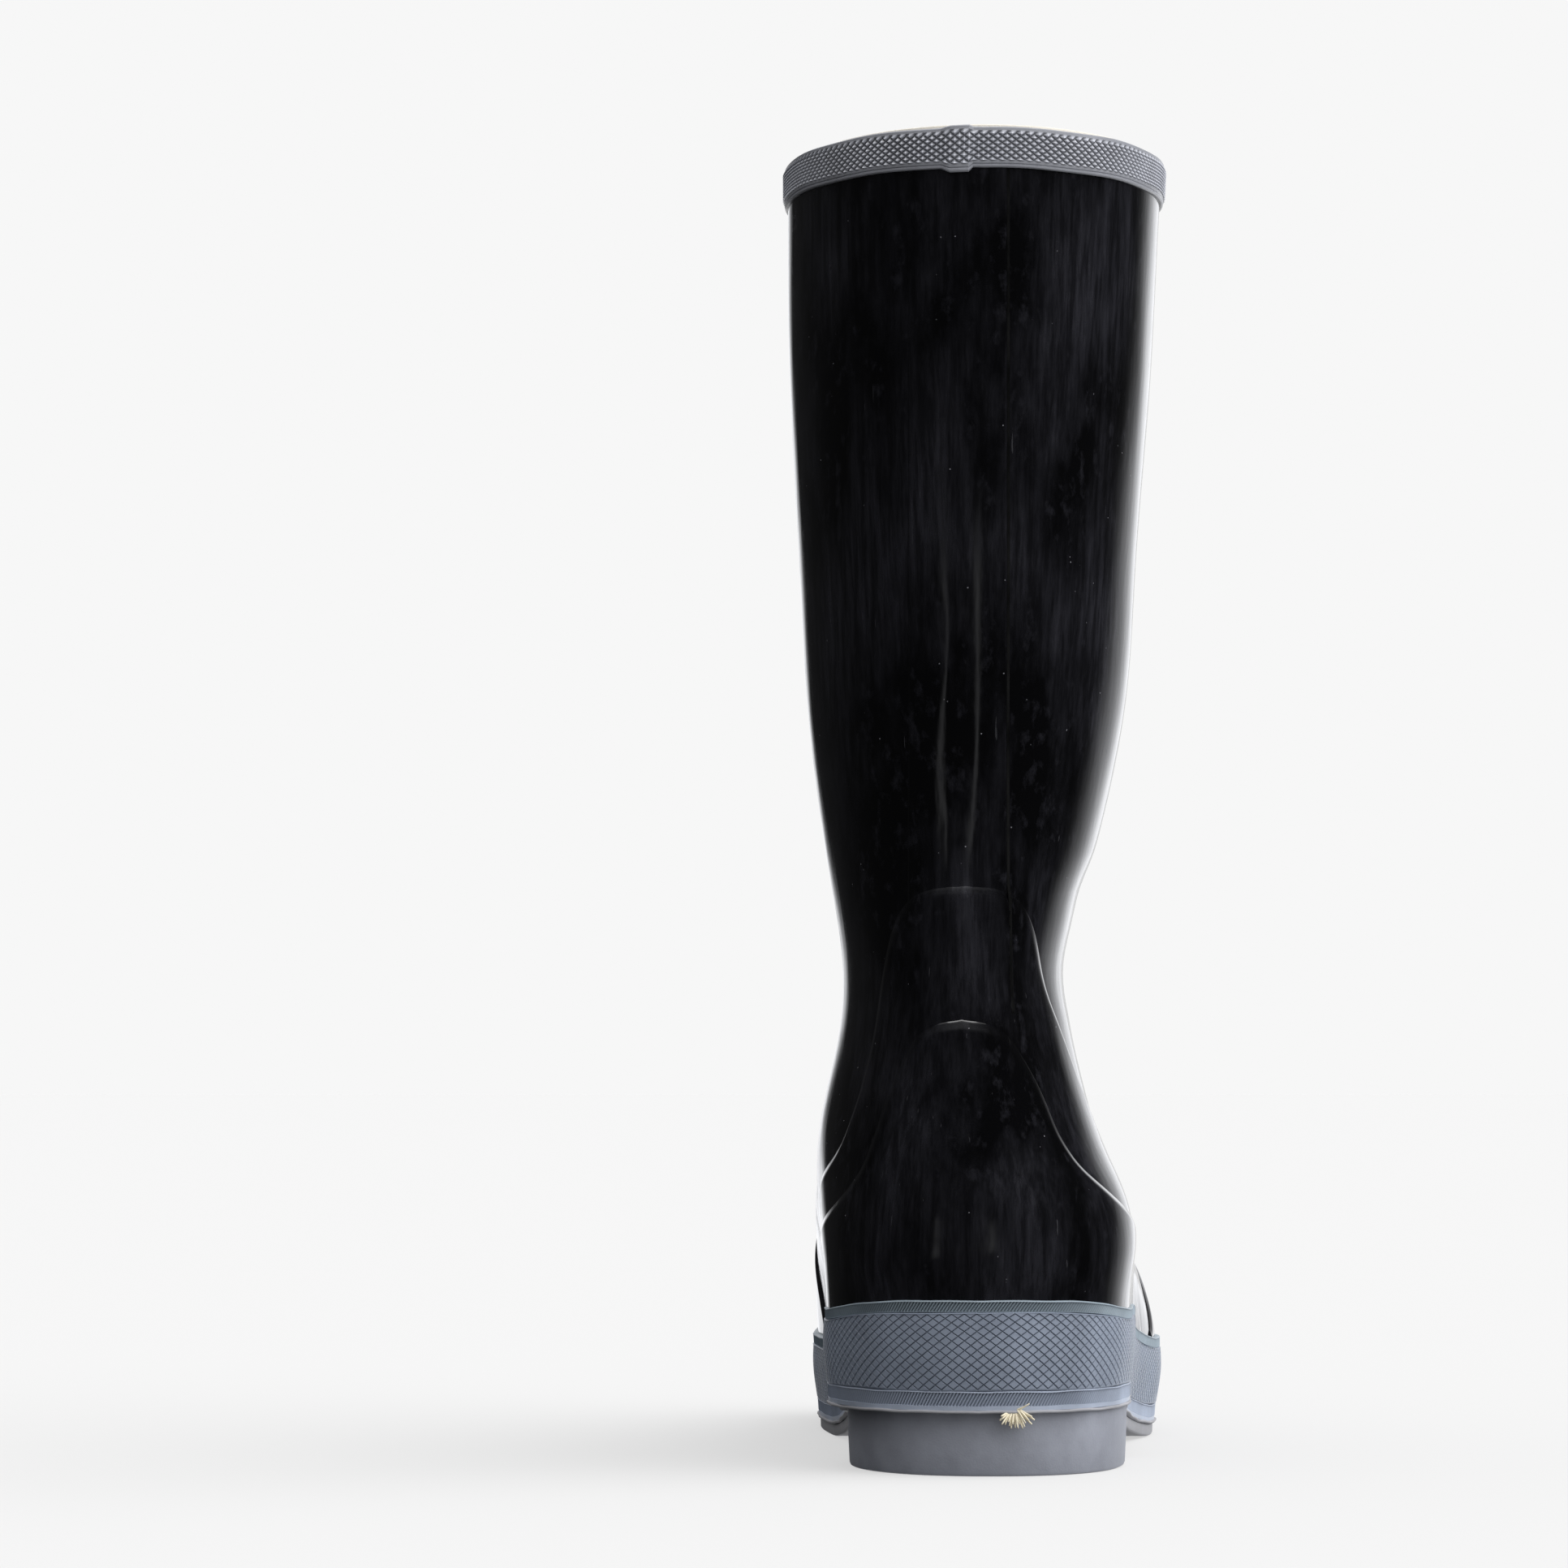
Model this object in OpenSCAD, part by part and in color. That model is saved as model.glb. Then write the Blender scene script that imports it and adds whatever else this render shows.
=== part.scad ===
// Rubber rain boot, right foot: a tall black boot with grey foxing, heel and top binding.
// Frame: +Z up, +Y towards the toe, +X to the outer (lateral) side, in millimetres.
// The origin is the centre of the bounding box's base.
// The upper is one surface, skin_point(station, angle, offset). Stations number the girth lines
// from the sole edge, 0, up to the rim. Angles run round a girth line: 0 back, 90 outer side, 180 front.

/* [Size] */
// Height of the rim above the floor
boot_h = 380; // [360:1:400]
// Length of the upper at the sole edge
last_len = 301; // [285:1:315]
// Width across the rim
rim_w = 113.4; // [106:1:120]
// Width across the ankle, the narrowest part of the leg
ankle_w = 66; // [62:1:74]
// Width of the upper across the ball of the foot
ball_w = 103; // [96:1:108]
// Width of the upper across the heel
heel_w = 84; // [78:1:90]

/* [Sole] */
// Height of the sole edge above the floor at the heel
heel_h = 18.6; // [14:0.2:24]
// Height of the sole edge above the floor under the ball
fore_h = 4.8; // [4:0.2:7]
// Rise of the toe tip above the ball
toe_rise = 8; // [3:0.5:12]
// Length of the heel block
heel_len = 80; // [70:1:90]
// Depth of the tread grooves
tread_d = 2.2; // [1:0.1:2.6]

/* [Foxing and binding] */
// Height of the whole foxing
foxing_h = 30.8; // [26:0.2:34]
// Height of the ribbed strip at the foxing's foot
foot_strip_h = 5.3; // [4:0.1:6.5]
// Height of the ribbed strip at the foxing's top
top_strip_h = 3.9; // [3:0.1:5]
// Height of the binding round the rim
binding_h = 11; // [8:0.5:15]

/* [Thicknesses] */
// Rubber of the leg cover
rubber_t = 2.2; // [1.6:0.1:3]
// Rubberised canvas between the leg cover and the lining
ply_t = 0.8; // [0.5:0.1:1.2]
// Knitted lining
lining_t = 1.2; // [0.8:0.1:2]
// Each rubber overlay on the outside
overlay_t = 0.9; // [0.6:0.1:1.4]
// Foxing band
foxing_t = 3; // [2.2:0.1:4]
// Ribbed strips
strip_t = 2.4; // [1.8:0.1:3.4]
// Binding
binding_t = 1; // [0.8:0.1:1.6]
// Removable footbed
footbed_t = 4; // [3:0.5:6]

/* [Hidden] */

black = [0.03, 0.03, 0.035];
grey = [0.42, 0.45, 0.49];
dark_grey = [0.33, 0.36, 0.40];
cream = [0.88, 0.82, 0.70];

// Stations of the girth lines
s_fox = foxing_h;      // top of the foxing
s_rim = 460;           // rim
s_vamp = 112;          // above here the girth lines no longer follow the sole

// The sole edge: level under the heel, down through the waist, level under the ball, up at the toe
waist_start = 0.25 * last_len;
waist_end = 0.60 * last_len;
spring_start = 0.70 * last_len;
function mix(a, b, t) = a + (b - a) * t;
function clamp01(t) = min(max(t, 0), 1);
function ease(a, b, x) = let (t = clamp01((x - a) / (b - a))) t * t * (3 - 2 * t);
function sole_z(y) = mix(heel_h, fore_h, ease(waist_start, waist_end, y))
    + toe_rise * pow(max(y - spring_start, 0) / (last_len - spring_start), 2);

// Profile lines: station, y, z
ankle_z = 0.374 * boot_h;
back_line = [
    [0, 2, heel_h], [s_fox, 0, heel_h + foxing_h], [50, -1.2, 58], [80, -1.5, 66], [s_vamp, -1, 76],
    [170, 3, 96], [218, 9, ankle_z - 18], [240, 11.5, ankle_z], [270, 13, ankle_z + 34],
    [345, 7, 0.69 * boot_h], [s_rim, 1, boot_h]];
front_line = [
    [0, last_len, fore_h + toe_rise], [s_fox, last_len + 2, fore_h + toe_rise + foxing_h - 2.5],
    [50, last_len - 7, 57], [80, last_len - 35, 66], [s_vamp, last_len - 66, 76.5],
    [170, last_len - 115, 103], [218, 149, ankle_z - 9], [240, 140, ankle_z + 11],
    [270, 136, ankle_z + 44], [345, 141, 0.705 * boot_h], [s_rim, 150, boot_h]];

// Half breadths from the heel's centre line: station, inner side, outer side
heel_half = heel_w / 2;
ankle_half = ankle_w / 2;
ball_half = ball_w / 2;
rim_half = rim_w / 2 - binding_t;
leg_half = [
    [218, ankle_half + 7, ankle_half - 6], [240, ankle_half + 6.8, ankle_half - 7.4],
    [270, ankle_half + 12, ankle_half + 2.4], [305, 0.44 * rim_w, 0.385 * rim_w],
    [345, rim_half - 3.2, rim_half - 8.5], [400, rim_half - 0.6, rim_half - 4],
    [s_rim, rim_half, rim_half - 0.6]];
heel_line = concat([
    [0, heel_half + 0.5, heel_half - 1.6], [s_fox, heel_half + 1.2, heel_half - 1.2],
    [80, heel_half + 2, heel_half + 0.6], [s_vamp, heel_half + 2, heel_half - 1],
    [170, heel_half + 1.5, heel_half - 8]], leg_half);
waist_line = concat([
    [0, 35, 44], [s_fox, 38, 46.5], [80, 45, 45.5], [s_vamp, 47, 42.5], [170, 46, 33.5]], leg_half);
ball_line = concat([
    [0, ball_half - 8, ball_half + 5.8], [s_fox, ball_half - 6.3, ball_half + 7.6],
    [50, ball_half - 5.3, ball_half + 4.2], [80, ball_half - 4.5, ball_half - 2],
    [s_vamp, 47, 42], [170, 43, 34]], leg_half);
toe_line = concat([
    [0, 47, 49], [s_fox, 48, 50], [50, 47, 49], [80, 45, 46], [s_vamp, 43, 43], [170, 38, 33]], leg_half);

// Roundness: station, share of the length that the back end takes, the front end, and the exponent
ends = [
    [0, 0.19, 0.32, 2.25], [s_fox, 0.18, 0.32, 2.3], [50, 0.18, 0.35, 2.35], [80, 0.2, 0.4, 2.3],
    [s_vamp, 0.24, 0.46, 2.25], [170, 0.34, 0.54, 2.12], [218, 0.44, 0.54, 2.02], [240, 0.48, 0.52, 2],
    [270, 0.5, 0.5, 2], [s_rim, 0.5, 0.5, 2]];

// A smooth curve through the rows of a table
function row_before(k, s, i = 0) = i >= len(k) - 2 || s < k[i + 1][0] ? i : row_before(k, s, i + 1);
function slope(k, i, c) = let (a = max(i - 1, 0), b = min(i + 1, len(k) - 1))
    (k[b][c] - k[a][c]) / (k[b][0] - k[a][0]);
function curve(k, s, c) = let (
    i = row_before(k, s),
    h = k[i + 1][0] - k[i][0],
    t = (s - k[i][0]) / h,
    e = clamp01(t))
    (2 * e * e * e - 3 * e * e + 1) * k[i][c] + (e * e * e - 2 * e * e + e) * h * slope(k, i, c)
    + (3 * e * e - 2 * e * e * e) * k[i + 1][c] + (e * e * e - e * e) * h * slope(k, i + 1, c)
    + (t - e) * h * slope(k, t > 1 ? i + 1 : i, c);

// The foxing's top edge arches up over the back of the heel and lies lower along the sides
side_drop = 3.6;
drop_from = 6;       // station where the drop begins
drop_full = 0.14;    // share of the length at which the drop is complete

// A girth line: profile ends, half breadths, roundness, how far it follows the sole, and the drop
function girth(s) = [
    curve(back_line, s, 1), curve(back_line, s, 2), curve(front_line, s, 1), curve(front_line, s, 2),
    [for (c = [1, 2]) curve(heel_line, s, c)], [for (c = [1, 2]) curve(waist_line, s, c)],
    [for (c = [1, 2]) curve(ball_line, s, c)], [for (c = [1, 2]) curve(toe_line, s, c)],
    curve(ends, s, 1), curve(ends, s, 2), curve(ends, s, 3),
    1 - ease(s_fox, s_vamp, s), side_drop * ease(drop_from, s_fox, s) * (1 - ease(s_fox, s_vamp, s))];
function end_round(q, p) = pow(1 - pow(1 - clamp01(q), p), 1 / p);
function breadth(g, side, t) = let (ball_at = side == 0 ? 0.74 : 0.64)
    mix(mix(mix(g[4][side], g[5][side], ease(0.1, 0.42, t)), g[6][side], ease(0.4, ball_at, t)),
        g[7][side], ease(ball_at, 1, t));
function on_girth(g, a) = let (
    t = (1 - cos(a)) / 2,
    inner = breadth(g, 0, t),
    outer = breadth(g, 1, t),
    y = mix(g[0], g[2], t),
    round_off = end_round(t / g[8], g[10]) * end_round((1 - t) / g[9], g[10]))
    [(outer - inner) / 2 + sign(sin(a)) * (outer + inner) / 2 * round_off, y,
     mix(g[1], g[3], t) + g[11] * (sole_z(y) - mix(heel_h, fore_h + toe_rise, t))
     - g[12] * ease(0, drop_full, t)];

// Points of one girth line, moved out by d along the surface's normal
function line_points(s, angles, d) = let (
    step_s = 1, step_a = 1,
    g = girth(s), up = girth(s + step_s), down = girth(max(s - step_s, 0)))
    [for (a = angles) let (
        across = on_girth(g, a + step_a) - on_girth(g, a - step_a),
        along = on_girth(up, a) - on_girth(down, a),
        n = cross(across, along))
        on_girth(g, a) + d * n / norm(n)];
function skin_point(s, a, d) = line_points(s, [a], d)[0];

// The origin comes from the widest outer surfaces: the foxing and the binding
columns = 48;
closed = [for (i = [0:columns - 1]) i * 360 / columns];
band_rows = [foot_strip_h, foxing_h / 2, foxing_h - top_strip_h];
box_points = concat([for (s = band_rows) each line_points(s, closed, foxing_t)],
                    line_points(s_rim, closed, binding_t));
function column(points, c) = [for (p = points) p[c]];
centre_x = (max(column(box_points, 0)) + min(column(box_points, 0))) / 2;
centre_y = (max(column(box_points, 1)) + min(column(box_points, 1))) / 2;

// Stations of the rows of the walls
foot_rows = [s_fox, 40, 50, 64, 80, 96, s_vamp, 130, 150, 170, 186, 202, 218, 229, 240];
leg_rows = [255, 270, 305, 345, 400];

// Closed solid between two grids of points, inner and outer. wrap joins the last column to the first
module slab(inner, outer, wrap) {
    rows = len(outer);
    n = len(outer[0]);
    half = rows * n;
    last = wrap ? n - 1 : n - 2;
    points = concat([for (r = outer) each r], [for (r = inner) each r]);
    function at(i, j) = i * n + j % n;
    walls = [for (i = [0:rows - 2], j = [0:last]) let (
        a = at(i, j), b = at(i, j + 1), c = at(i + 1, j + 1), d = at(i + 1, j))
        each [[a, c, b], [a, d, c], [half + a, half + b, half + c], [half + a, half + c, half + d]]];
    rims = [for (j = [0:last], i = [0, rows - 1]) let (a = at(i, j), b = at(i, j + 1))
        each i == 0 ? [[a, b, half + b], [a, half + b, half + a]]
                    : [[a, half + b, b], [a, half + a, half + b]]];
    sides = wrap ? [] : [for (i = [0:rows - 2], j = [0, n - 1]) let (a = at(i, j), b = at(i + 1, j))
        each j == 0 ? [[a, half + b, b], [a, half + a, half + b]]
                    : [[a, b, half + b], [a, half + b, half + a]]];
    polyhedron(points, concat(walls, rims, sides), convexity = 8);
}

// Shell all the way round the boot, from the first station to the last
module hoop(stations, d_in, d_out, angles = closed)
    slab([for (s = stations) line_points(s, angles, d_in)],
         [for (s = stations) line_points(s, angles, d_out)], true);

// Shell over part of the surface. limits gives the first and last angle at each station
module patch(stations, limits, d_in, d_out, n = 12) {
    function angles(i) = [for (j = [0:n]) mix(limits[i][0], limits[i][1], j / n)];
    slab([for (i = [0:len(stations) - 1]) line_points(stations[i], angles(i), d_in)],
         [for (i = [0:len(stations) - 1]) line_points(stations[i], angles(i), d_out)], false);
}

// Triangles that close the foot of a girth of n points from side to side. first is its first point
function foot_cap(first, n, up) = [for (j = [0:n / 2 - 1]) let (
    a = first + j, b = first + j + 1, c = first + (n - j - 1) % n, d = first + (n - j) % n,
    tris = j == 0 ? [[a, b, c]] : j == n / 2 - 1 ? [[a, b, d]] : [[a, b, c], [a, c, d]])
    each up ? [for (t = tris) [t[0], t[2], t[1]]] : tris];

// Sock with a closed foot: outer and inner surfaces joined at the rim
module sock(stations, d_in, d_out, floor_t) {
    n = columns;
    rows = len(stations);
    half = rows * n;
    outer = [for (s = stations) each line_points(s, closed, d_out)];
    inner = [for (i = [0:rows - 1])
        each line_points(i == 0 ? stations[0] + floor_t : stations[i], closed, d_in)];
    walls = [for (i = [0:rows - 2], j = [0:n - 1]) let (
        a = i * n + j, b = i * n + (j + 1) % n, c = b + n, d = a + n)
        each [[a, c, b], [a, d, c], [half + a, half + b, half + c], [half + a, half + c, half + d]]];
    top = [for (j = [0:n - 1]) let (a = (rows - 1) * n + j, b = (rows - 1) * n + (j + 1) % n)
        each [[a, half + b, b], [a, half + a, half + b]]];
    polyhedron(concat(outer, inner),
               concat(walls, top, foot_cap(0, n, false), foot_cap(half, n, true)), convexity = 8);
}

module placed() translate([-centre_x, -centre_y, 0]) children();

// Outline of the sole seen from above, moved out by d
function plan(d) = let (g = girth(0)) [for (a = closed) let (
    p = on_girth(g, a),
    q = on_girth(g, a + 1) - on_girth(g, a - 1))
    [p.x, p.y] + d * [q.y, -q.x] / norm([q.x, q.y])];

// Side view of a layer that follows the sole edge between two lengths
sole_steps = concat([waist_start], [for (i = [1:9]) mix(waist_start, waist_end, i / 10)], [waist_end],
                    [for (i = [0:5]) mix(spring_start, last_len, i / 5)]);
function steps(from, to) = concat([from], [for (y = sole_steps) if (y > from && y < to) y], [to]);
module side_cut(low, high, from, to) {
    s = steps(from, to);
    rotate([90, 0, 90]) translate([0, 0, -ball_w]) linear_extrude(2 * ball_w)
        polygon(concat([for (y = s) [y, sole_z(y) + low]],
                       [for (i = [len(s) - 1:-1:0]) [s[i], sole_z(s[i]) + high]]));
}

// Flat layer of the sole: its lower and upper heights are measured from the sole edge
overrun = 20;        // how far the side view runs past the heel and the toe
module layer(low, high, d, from = -overrun, to = last_len + overrun) intersection() {
    side_cut(low, high, from, to);
    linear_extrude(boot_h) polygon(plan(d));
}

// Heights of the layers above and below the sole edge
sole_ply_t = 0.9;
filler_t = 2.5;
board_t = 2;
outsole_t = fore_h - sole_ply_t;
board_top = filler_t + board_t;
footbed_low = board_top + lining_t;
canvas_in = -rubber_t - ply_t;      // inner face of the canvas
lining_in = canvas_in - lining_t;   // inner face of the lining
seam_gap = 0.4;                     // between pieces of the canvas and the stiffeners

// Tread grooves across the sole between two lengths, with a plain border along the edges
groove_w = 3;
groove_pitch = 8;
module grooves(from, to)
    for (y = [from:groove_pitch:to - groove_w])
        translate([-ball_w, y, -1]) cube([2 * ball_w, groove_w, boot_h]);

module outsole() color(grey) placed() difference() {
    layer(-sole_ply_t - outsole_t, -sole_ply_t, strip_t - 0.8, heel_len);
    intersection() {
        layer(-sole_ply_t - outsole_t - 1, -sole_ply_t - outsole_t + tread_d, -6, heel_len);
        grooves(waist_end - 15, last_len - groove_pitch);
    }
}

// The heel block stands in from the foxing, more on the inner side than on the outer
heel_inset = 0.6;
heel_shift = 2.3;
module block_outline(inset) translate([heel_shift, 0]) polygon(plan(-inset));
module heel_block() color(grey) placed() difference() {
    intersection() {
        linear_extrude(heel_h - sole_ply_t) block_outline(heel_inset);
        translate([-ball_w, heel_len - last_len, 0]) cube([2 * ball_w, last_len, heel_h]);
    }
    intersection() {
        translate([0, 0, -1]) linear_extrude(tread_d + 1) block_outline(heel_inset + 7);
        grooves(10, heel_len - 6);
    }
}

module sole_ply() color(dark_grey) placed() layer(-sole_ply_t, 0, strip_t + 0.5);

// Steel strip that stiffens the waist, let into the top of the filler. above lengthens it upwards
shank_t = 1.2;
shank_w = 16;
shank_from = 45;
shank_to = 150;
module shank_bar(above) intersection() {
    side_cut(filler_t - shank_t, filler_t + above, shank_from, shank_to);
    translate([-shank_w / 2, 0, 0]) cube([shank_w, last_len, boot_h]);
}
module shank() color("silver") placed() shank_bar(0);

module sole_filler() color("tan") placed() difference() {
    layer(0, filler_t, canvas_in);
    shank_bar(1);
}

module insole_board() color("burlywood") placed() layer(filler_t, board_top, canvas_in);

module footbed() color("dimgray") placed()
    layer(footbed_low, footbed_low + footbed_t, lining_in - 0.6);

sock_rows = concat([board_top, 14, 22], foot_rows, leg_rows, [s_rim]);
wall_rows = concat([0, board_top, 14, 22], foot_rows, leg_rows, [s_rim]);
module sock_lining() color(cream) placed() sock(sock_rows, lining_in, canvas_in, lining_t);

stiff_rows = [0, board_top, 14, 22, s_fox, 40, 50, 64, 80, 96, s_vamp];
stiff_edge = 64;     // angle of the stiffener's front edge
puff_edge = 130;     // angle of the puff's rear edge
function same_limits(rows, a, b) = [for (r = rows) [a, b]];
module heel_stiffener() color("saddlebrown") placed()
    patch(stiff_rows, same_limits(stiff_rows, -stiff_edge, stiff_edge), canvas_in, -rubber_t, 16);
module toe_puff() color("saddlebrown") placed()
    patch(stiff_rows, same_limits(stiff_rows, puff_edge, 360 - puff_edge), canvas_in, -rubber_t, 16);
module canvas_ply() color("beige") placed() {
    leg = concat([s_vamp + seam_gap], [for (r = concat(foot_rows, leg_rows)) if (r > s_vamp) r], [s_rim]);
    hoop(leg, canvas_in, -rubber_t);
    side = [stiff_edge + seam_gap, puff_edge - seam_gap];
    patch(stiff_rows, same_limits(stiff_rows, side[0], side[1]), canvas_in, -rubber_t, 8);
    patch(stiff_rows, same_limits(stiff_rows, 360 - side[1], 360 - side[0]), canvas_in, -rubber_t, 8);
}

module leg_cover() color(black) placed() hoop(wall_rows, -rubber_t, 0);

// Overlay with an arched edge: rows of points rise from the foxing's top edge to the arch.
// edge lists points from the arch's top down to its foot: number, angle before the angle centre,
// angle past it, station
edge_rows = 8;
module apron(edge, centre, d_in, d_out) {
    last = len(edge) - 1;
    across = [for (u = [-last:0.5:last]) u];
    function side(u) = u < 0 ? 1 : 2;
    function angle(u, i) = centre + sign(u) * mix(abs(u) / last * edge[last][side(u)],
                                                  curve(edge, abs(u), side(u)), i / edge_rows);
    function station(u, i) = mix(s_fox, curve(edge, abs(u), 3), i / edge_rows);
    function grid(d) = [for (i = [0:edge_rows])
        [for (u = across) skin_point(station(u, i), angle(u, i), d)]];
    slab(grid(d_in), grid(d_out), false);
}

ankle_edge = [
    [0, 0, 0, 261], [1, 15, 15, 260], [2, 27, 28, 256], [3, 36, 40, 247], [4, 42, 50, 233],
    [5, 44, 57, 212], [6, 46, 61, 182], [7, 51, 66, 152], [8, 64, 76, 128], [9, 80, 84, 98],
    [10, 90, 90, 66], [11, 95, 93, s_fox + 3]];
heel_edge = [
    [0, 0, 0, 223], [1, 12, 12, 220.5], [2, 22, 22, 212], [3, 29, 29, 192], [4, 32, 31, 165],
    [5, 35, 34, 138], [6, 43, 43, 112], [7, 58, 58, 88], [8, 73, 72, 60], [9, 80, 79, s_fox + 3]];
vamp_edge = [
    [0, 0, 0, 184], [1, 16, 16, 178], [2, 30, 30, 164], [3, 43, 43, 140], [4, 55, 54, 112],
    [5, 66, 65, 80], [6, 75, 73, 52], [7, 80, 78, s_fox + 3]];
cap_edge = [
    [0, 0, 0, 88], [1, 14, 14, 84], [2, 28, 28, 74], [3, 40, 39, 60], [4, 49, 48, 45],
    [5, 54, 53, s_fox + 3]];
module ankle_counter() color(black) placed() apron(ankle_edge, 0, 0, overlay_t);
module heel_counter() color(black) placed() apron(heel_edge, 0, overlay_t, 2 * overlay_t);
module vamp_overlay() color(black) placed() apron(vamp_edge, 180, 0, overlay_t);
module toe_cap() color(black) placed() apron(cap_edge, 180, overlay_t, 2 * overlay_t);

// Strip over the back seam of the leg, between two distances from the heel's centre line,
// inner side and outer side
stay_x = [-20, 6];
stay_foot = 264;     // station of its lower end, under the ankle counter's edge
function back_angle(s, x) = let (
    g = girth(s), c = (g[4][1] - g[4][0]) / 2, h = (g[4][1] + g[4][0]) / 2)
    asin(min(max((x - c) / h, -1), 1));
module back_stay() color(black) placed() {
    rows = [stay_foot, 285, 305, 345, 400, s_rim - binding_h];
    limits = [for (s = rows) [back_angle(s, stay_x[0]), back_angle(s, stay_x[1])]];
    patch(rows, limits, 0, overlay_t, 6);
}

module foxing_foot_strip() color(dark_grey) placed() hoop([0, foot_strip_h], 0, strip_t);
module foxing_band() color(grey) placed() hoop(band_rows, 0, foxing_t);
module foxing_top_strip() color(dark_grey) placed() hoop([s_fox - top_strip_h, s_fox], 0, strip_t);
module top_binding() color(dark_grey) placed() hoop([s_rim - binding_h, s_rim], 0, binding_t);

// Frayed yarn end that hangs out between the sole ply and the heel block
tuft_x = 7.7;
tuft_strands = 5;
strand_gap = 1.3;
strand_len = 6;
module yarn_tuft() color(cream) placed()
    for (i = [0:tuft_strands - 1]) let (off_centre = i - (tuft_strands - 1) / 2)
        translate([tuft_x + strand_gap * off_centre, 2.2, heel_h - sole_ply_t - 0.8])
            rotate([125, 0, 14 * off_centre])
                cylinder(h = strand_len, d1 = 0.9, d2 = 0.5, $fn = 16);

outsole();
heel_block();
sole_ply();
shank();
sole_filler();
insole_board();
footbed();
sock_lining();
canvas_ply();
heel_stiffener();
toe_puff();
leg_cover();
vamp_overlay();
toe_cap();
back_stay();
ankle_counter();
heel_counter();
foxing_band();
foxing_top_strip();
foxing_foot_strip();
top_binding();
yarn_tuft();
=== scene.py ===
"""Rubber rain boot, right foot, seen from behind in a plain studio."""
import math

import bmesh
import bpy
import numpy as np
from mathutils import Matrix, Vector
from mathutils.kdtree import KDTree


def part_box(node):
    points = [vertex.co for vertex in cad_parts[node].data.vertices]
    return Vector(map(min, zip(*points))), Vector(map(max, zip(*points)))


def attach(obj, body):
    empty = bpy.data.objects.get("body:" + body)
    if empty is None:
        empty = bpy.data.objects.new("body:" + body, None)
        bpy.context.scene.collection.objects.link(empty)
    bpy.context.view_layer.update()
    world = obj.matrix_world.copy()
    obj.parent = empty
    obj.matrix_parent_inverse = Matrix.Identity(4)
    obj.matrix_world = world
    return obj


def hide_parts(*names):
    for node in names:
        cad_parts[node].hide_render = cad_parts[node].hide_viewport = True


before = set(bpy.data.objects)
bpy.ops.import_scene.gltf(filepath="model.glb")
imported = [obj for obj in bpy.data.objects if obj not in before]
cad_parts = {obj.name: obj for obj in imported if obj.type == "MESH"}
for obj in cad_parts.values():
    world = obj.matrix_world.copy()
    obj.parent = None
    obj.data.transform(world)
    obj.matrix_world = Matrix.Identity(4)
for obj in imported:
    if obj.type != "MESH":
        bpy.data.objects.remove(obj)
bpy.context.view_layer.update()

# ---- Dimensions, in millimetres, as in the CAD model ----
BOOT_H, LAST_LEN, RIM_W, ANKLE_W, BALL_W, HEEL_W = 380, 301, 113.4, 66, 103, 84
HEEL_H, FORE_H, TOE_RISE, HEEL_LEN, TREAD_D = 18.6, 4.8, 8, 80, 2.2
FOXING_H, FOOT_STRIP_H, TOP_STRIP_H, BINDING_H = 30.8, 5.3, 3.9, 11
RUBBER_T, PLY_T, LINING_T, OVERLAY_T = 2.2, 0.8, 1.2, 0.9
FOXING_T, STRIP_T, BINDING_T, FOOTBED_T = 3, 2.4, 1, 4
SOLE_PLY_T, FILLER_T, BOARD_T = 0.9, 2.5, 2
OUTSOLE_T = FORE_H - SOLE_PLY_T
CANVAS_IN = -RUBBER_T - PLY_T
LINING_IN = CANVAS_IN - LINING_T
BOARD_TOP = FILLER_T + BOARD_T

S_RIM = 460
S_VAMP = 112
WAIST_START, WAIST_END, SPRING_START = 0.25 * LAST_LEN, 0.6 * LAST_LEN, 0.7 * LAST_LEN
TOE_Z = FORE_H + TOE_RISE
ANKLE_Z = 0.374 * BOOT_H
HEEL_HALF, ANKLE_HALF, BALL_HALF = HEEL_W / 2, ANKLE_W / 2, BALL_W / 2
RIM_HALF = RIM_W / 2 - BINDING_T

# Profile lines: station, y, z
BACK_LINE = [
    (0, 2, HEEL_H), (FOXING_H, 0, HEEL_H + FOXING_H), (50, -1.2, 58), (80, -1.5, 66), (S_VAMP, -1, 76),
    (170, 3, 96), (218, 9, ANKLE_Z - 18), (240, 11.5, ANKLE_Z), (270, 13, ANKLE_Z + 34),
    (345, 7, 0.69 * BOOT_H), (S_RIM, 1, BOOT_H)]
FRONT_LINE = [
    (0, LAST_LEN, TOE_Z), (FOXING_H, LAST_LEN + 2, TOE_Z + FOXING_H - 2.5),
    (50, LAST_LEN - 7, 57), (80, LAST_LEN - 35, 66), (S_VAMP, LAST_LEN - 66, 76.5),
    (170, LAST_LEN - 115, 103), (218, 149, ANKLE_Z - 9), (240, 140, ANKLE_Z + 11),
    (270, 136, ANKLE_Z + 44), (345, 141, 0.705 * BOOT_H), (S_RIM, 150, BOOT_H)]
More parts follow.
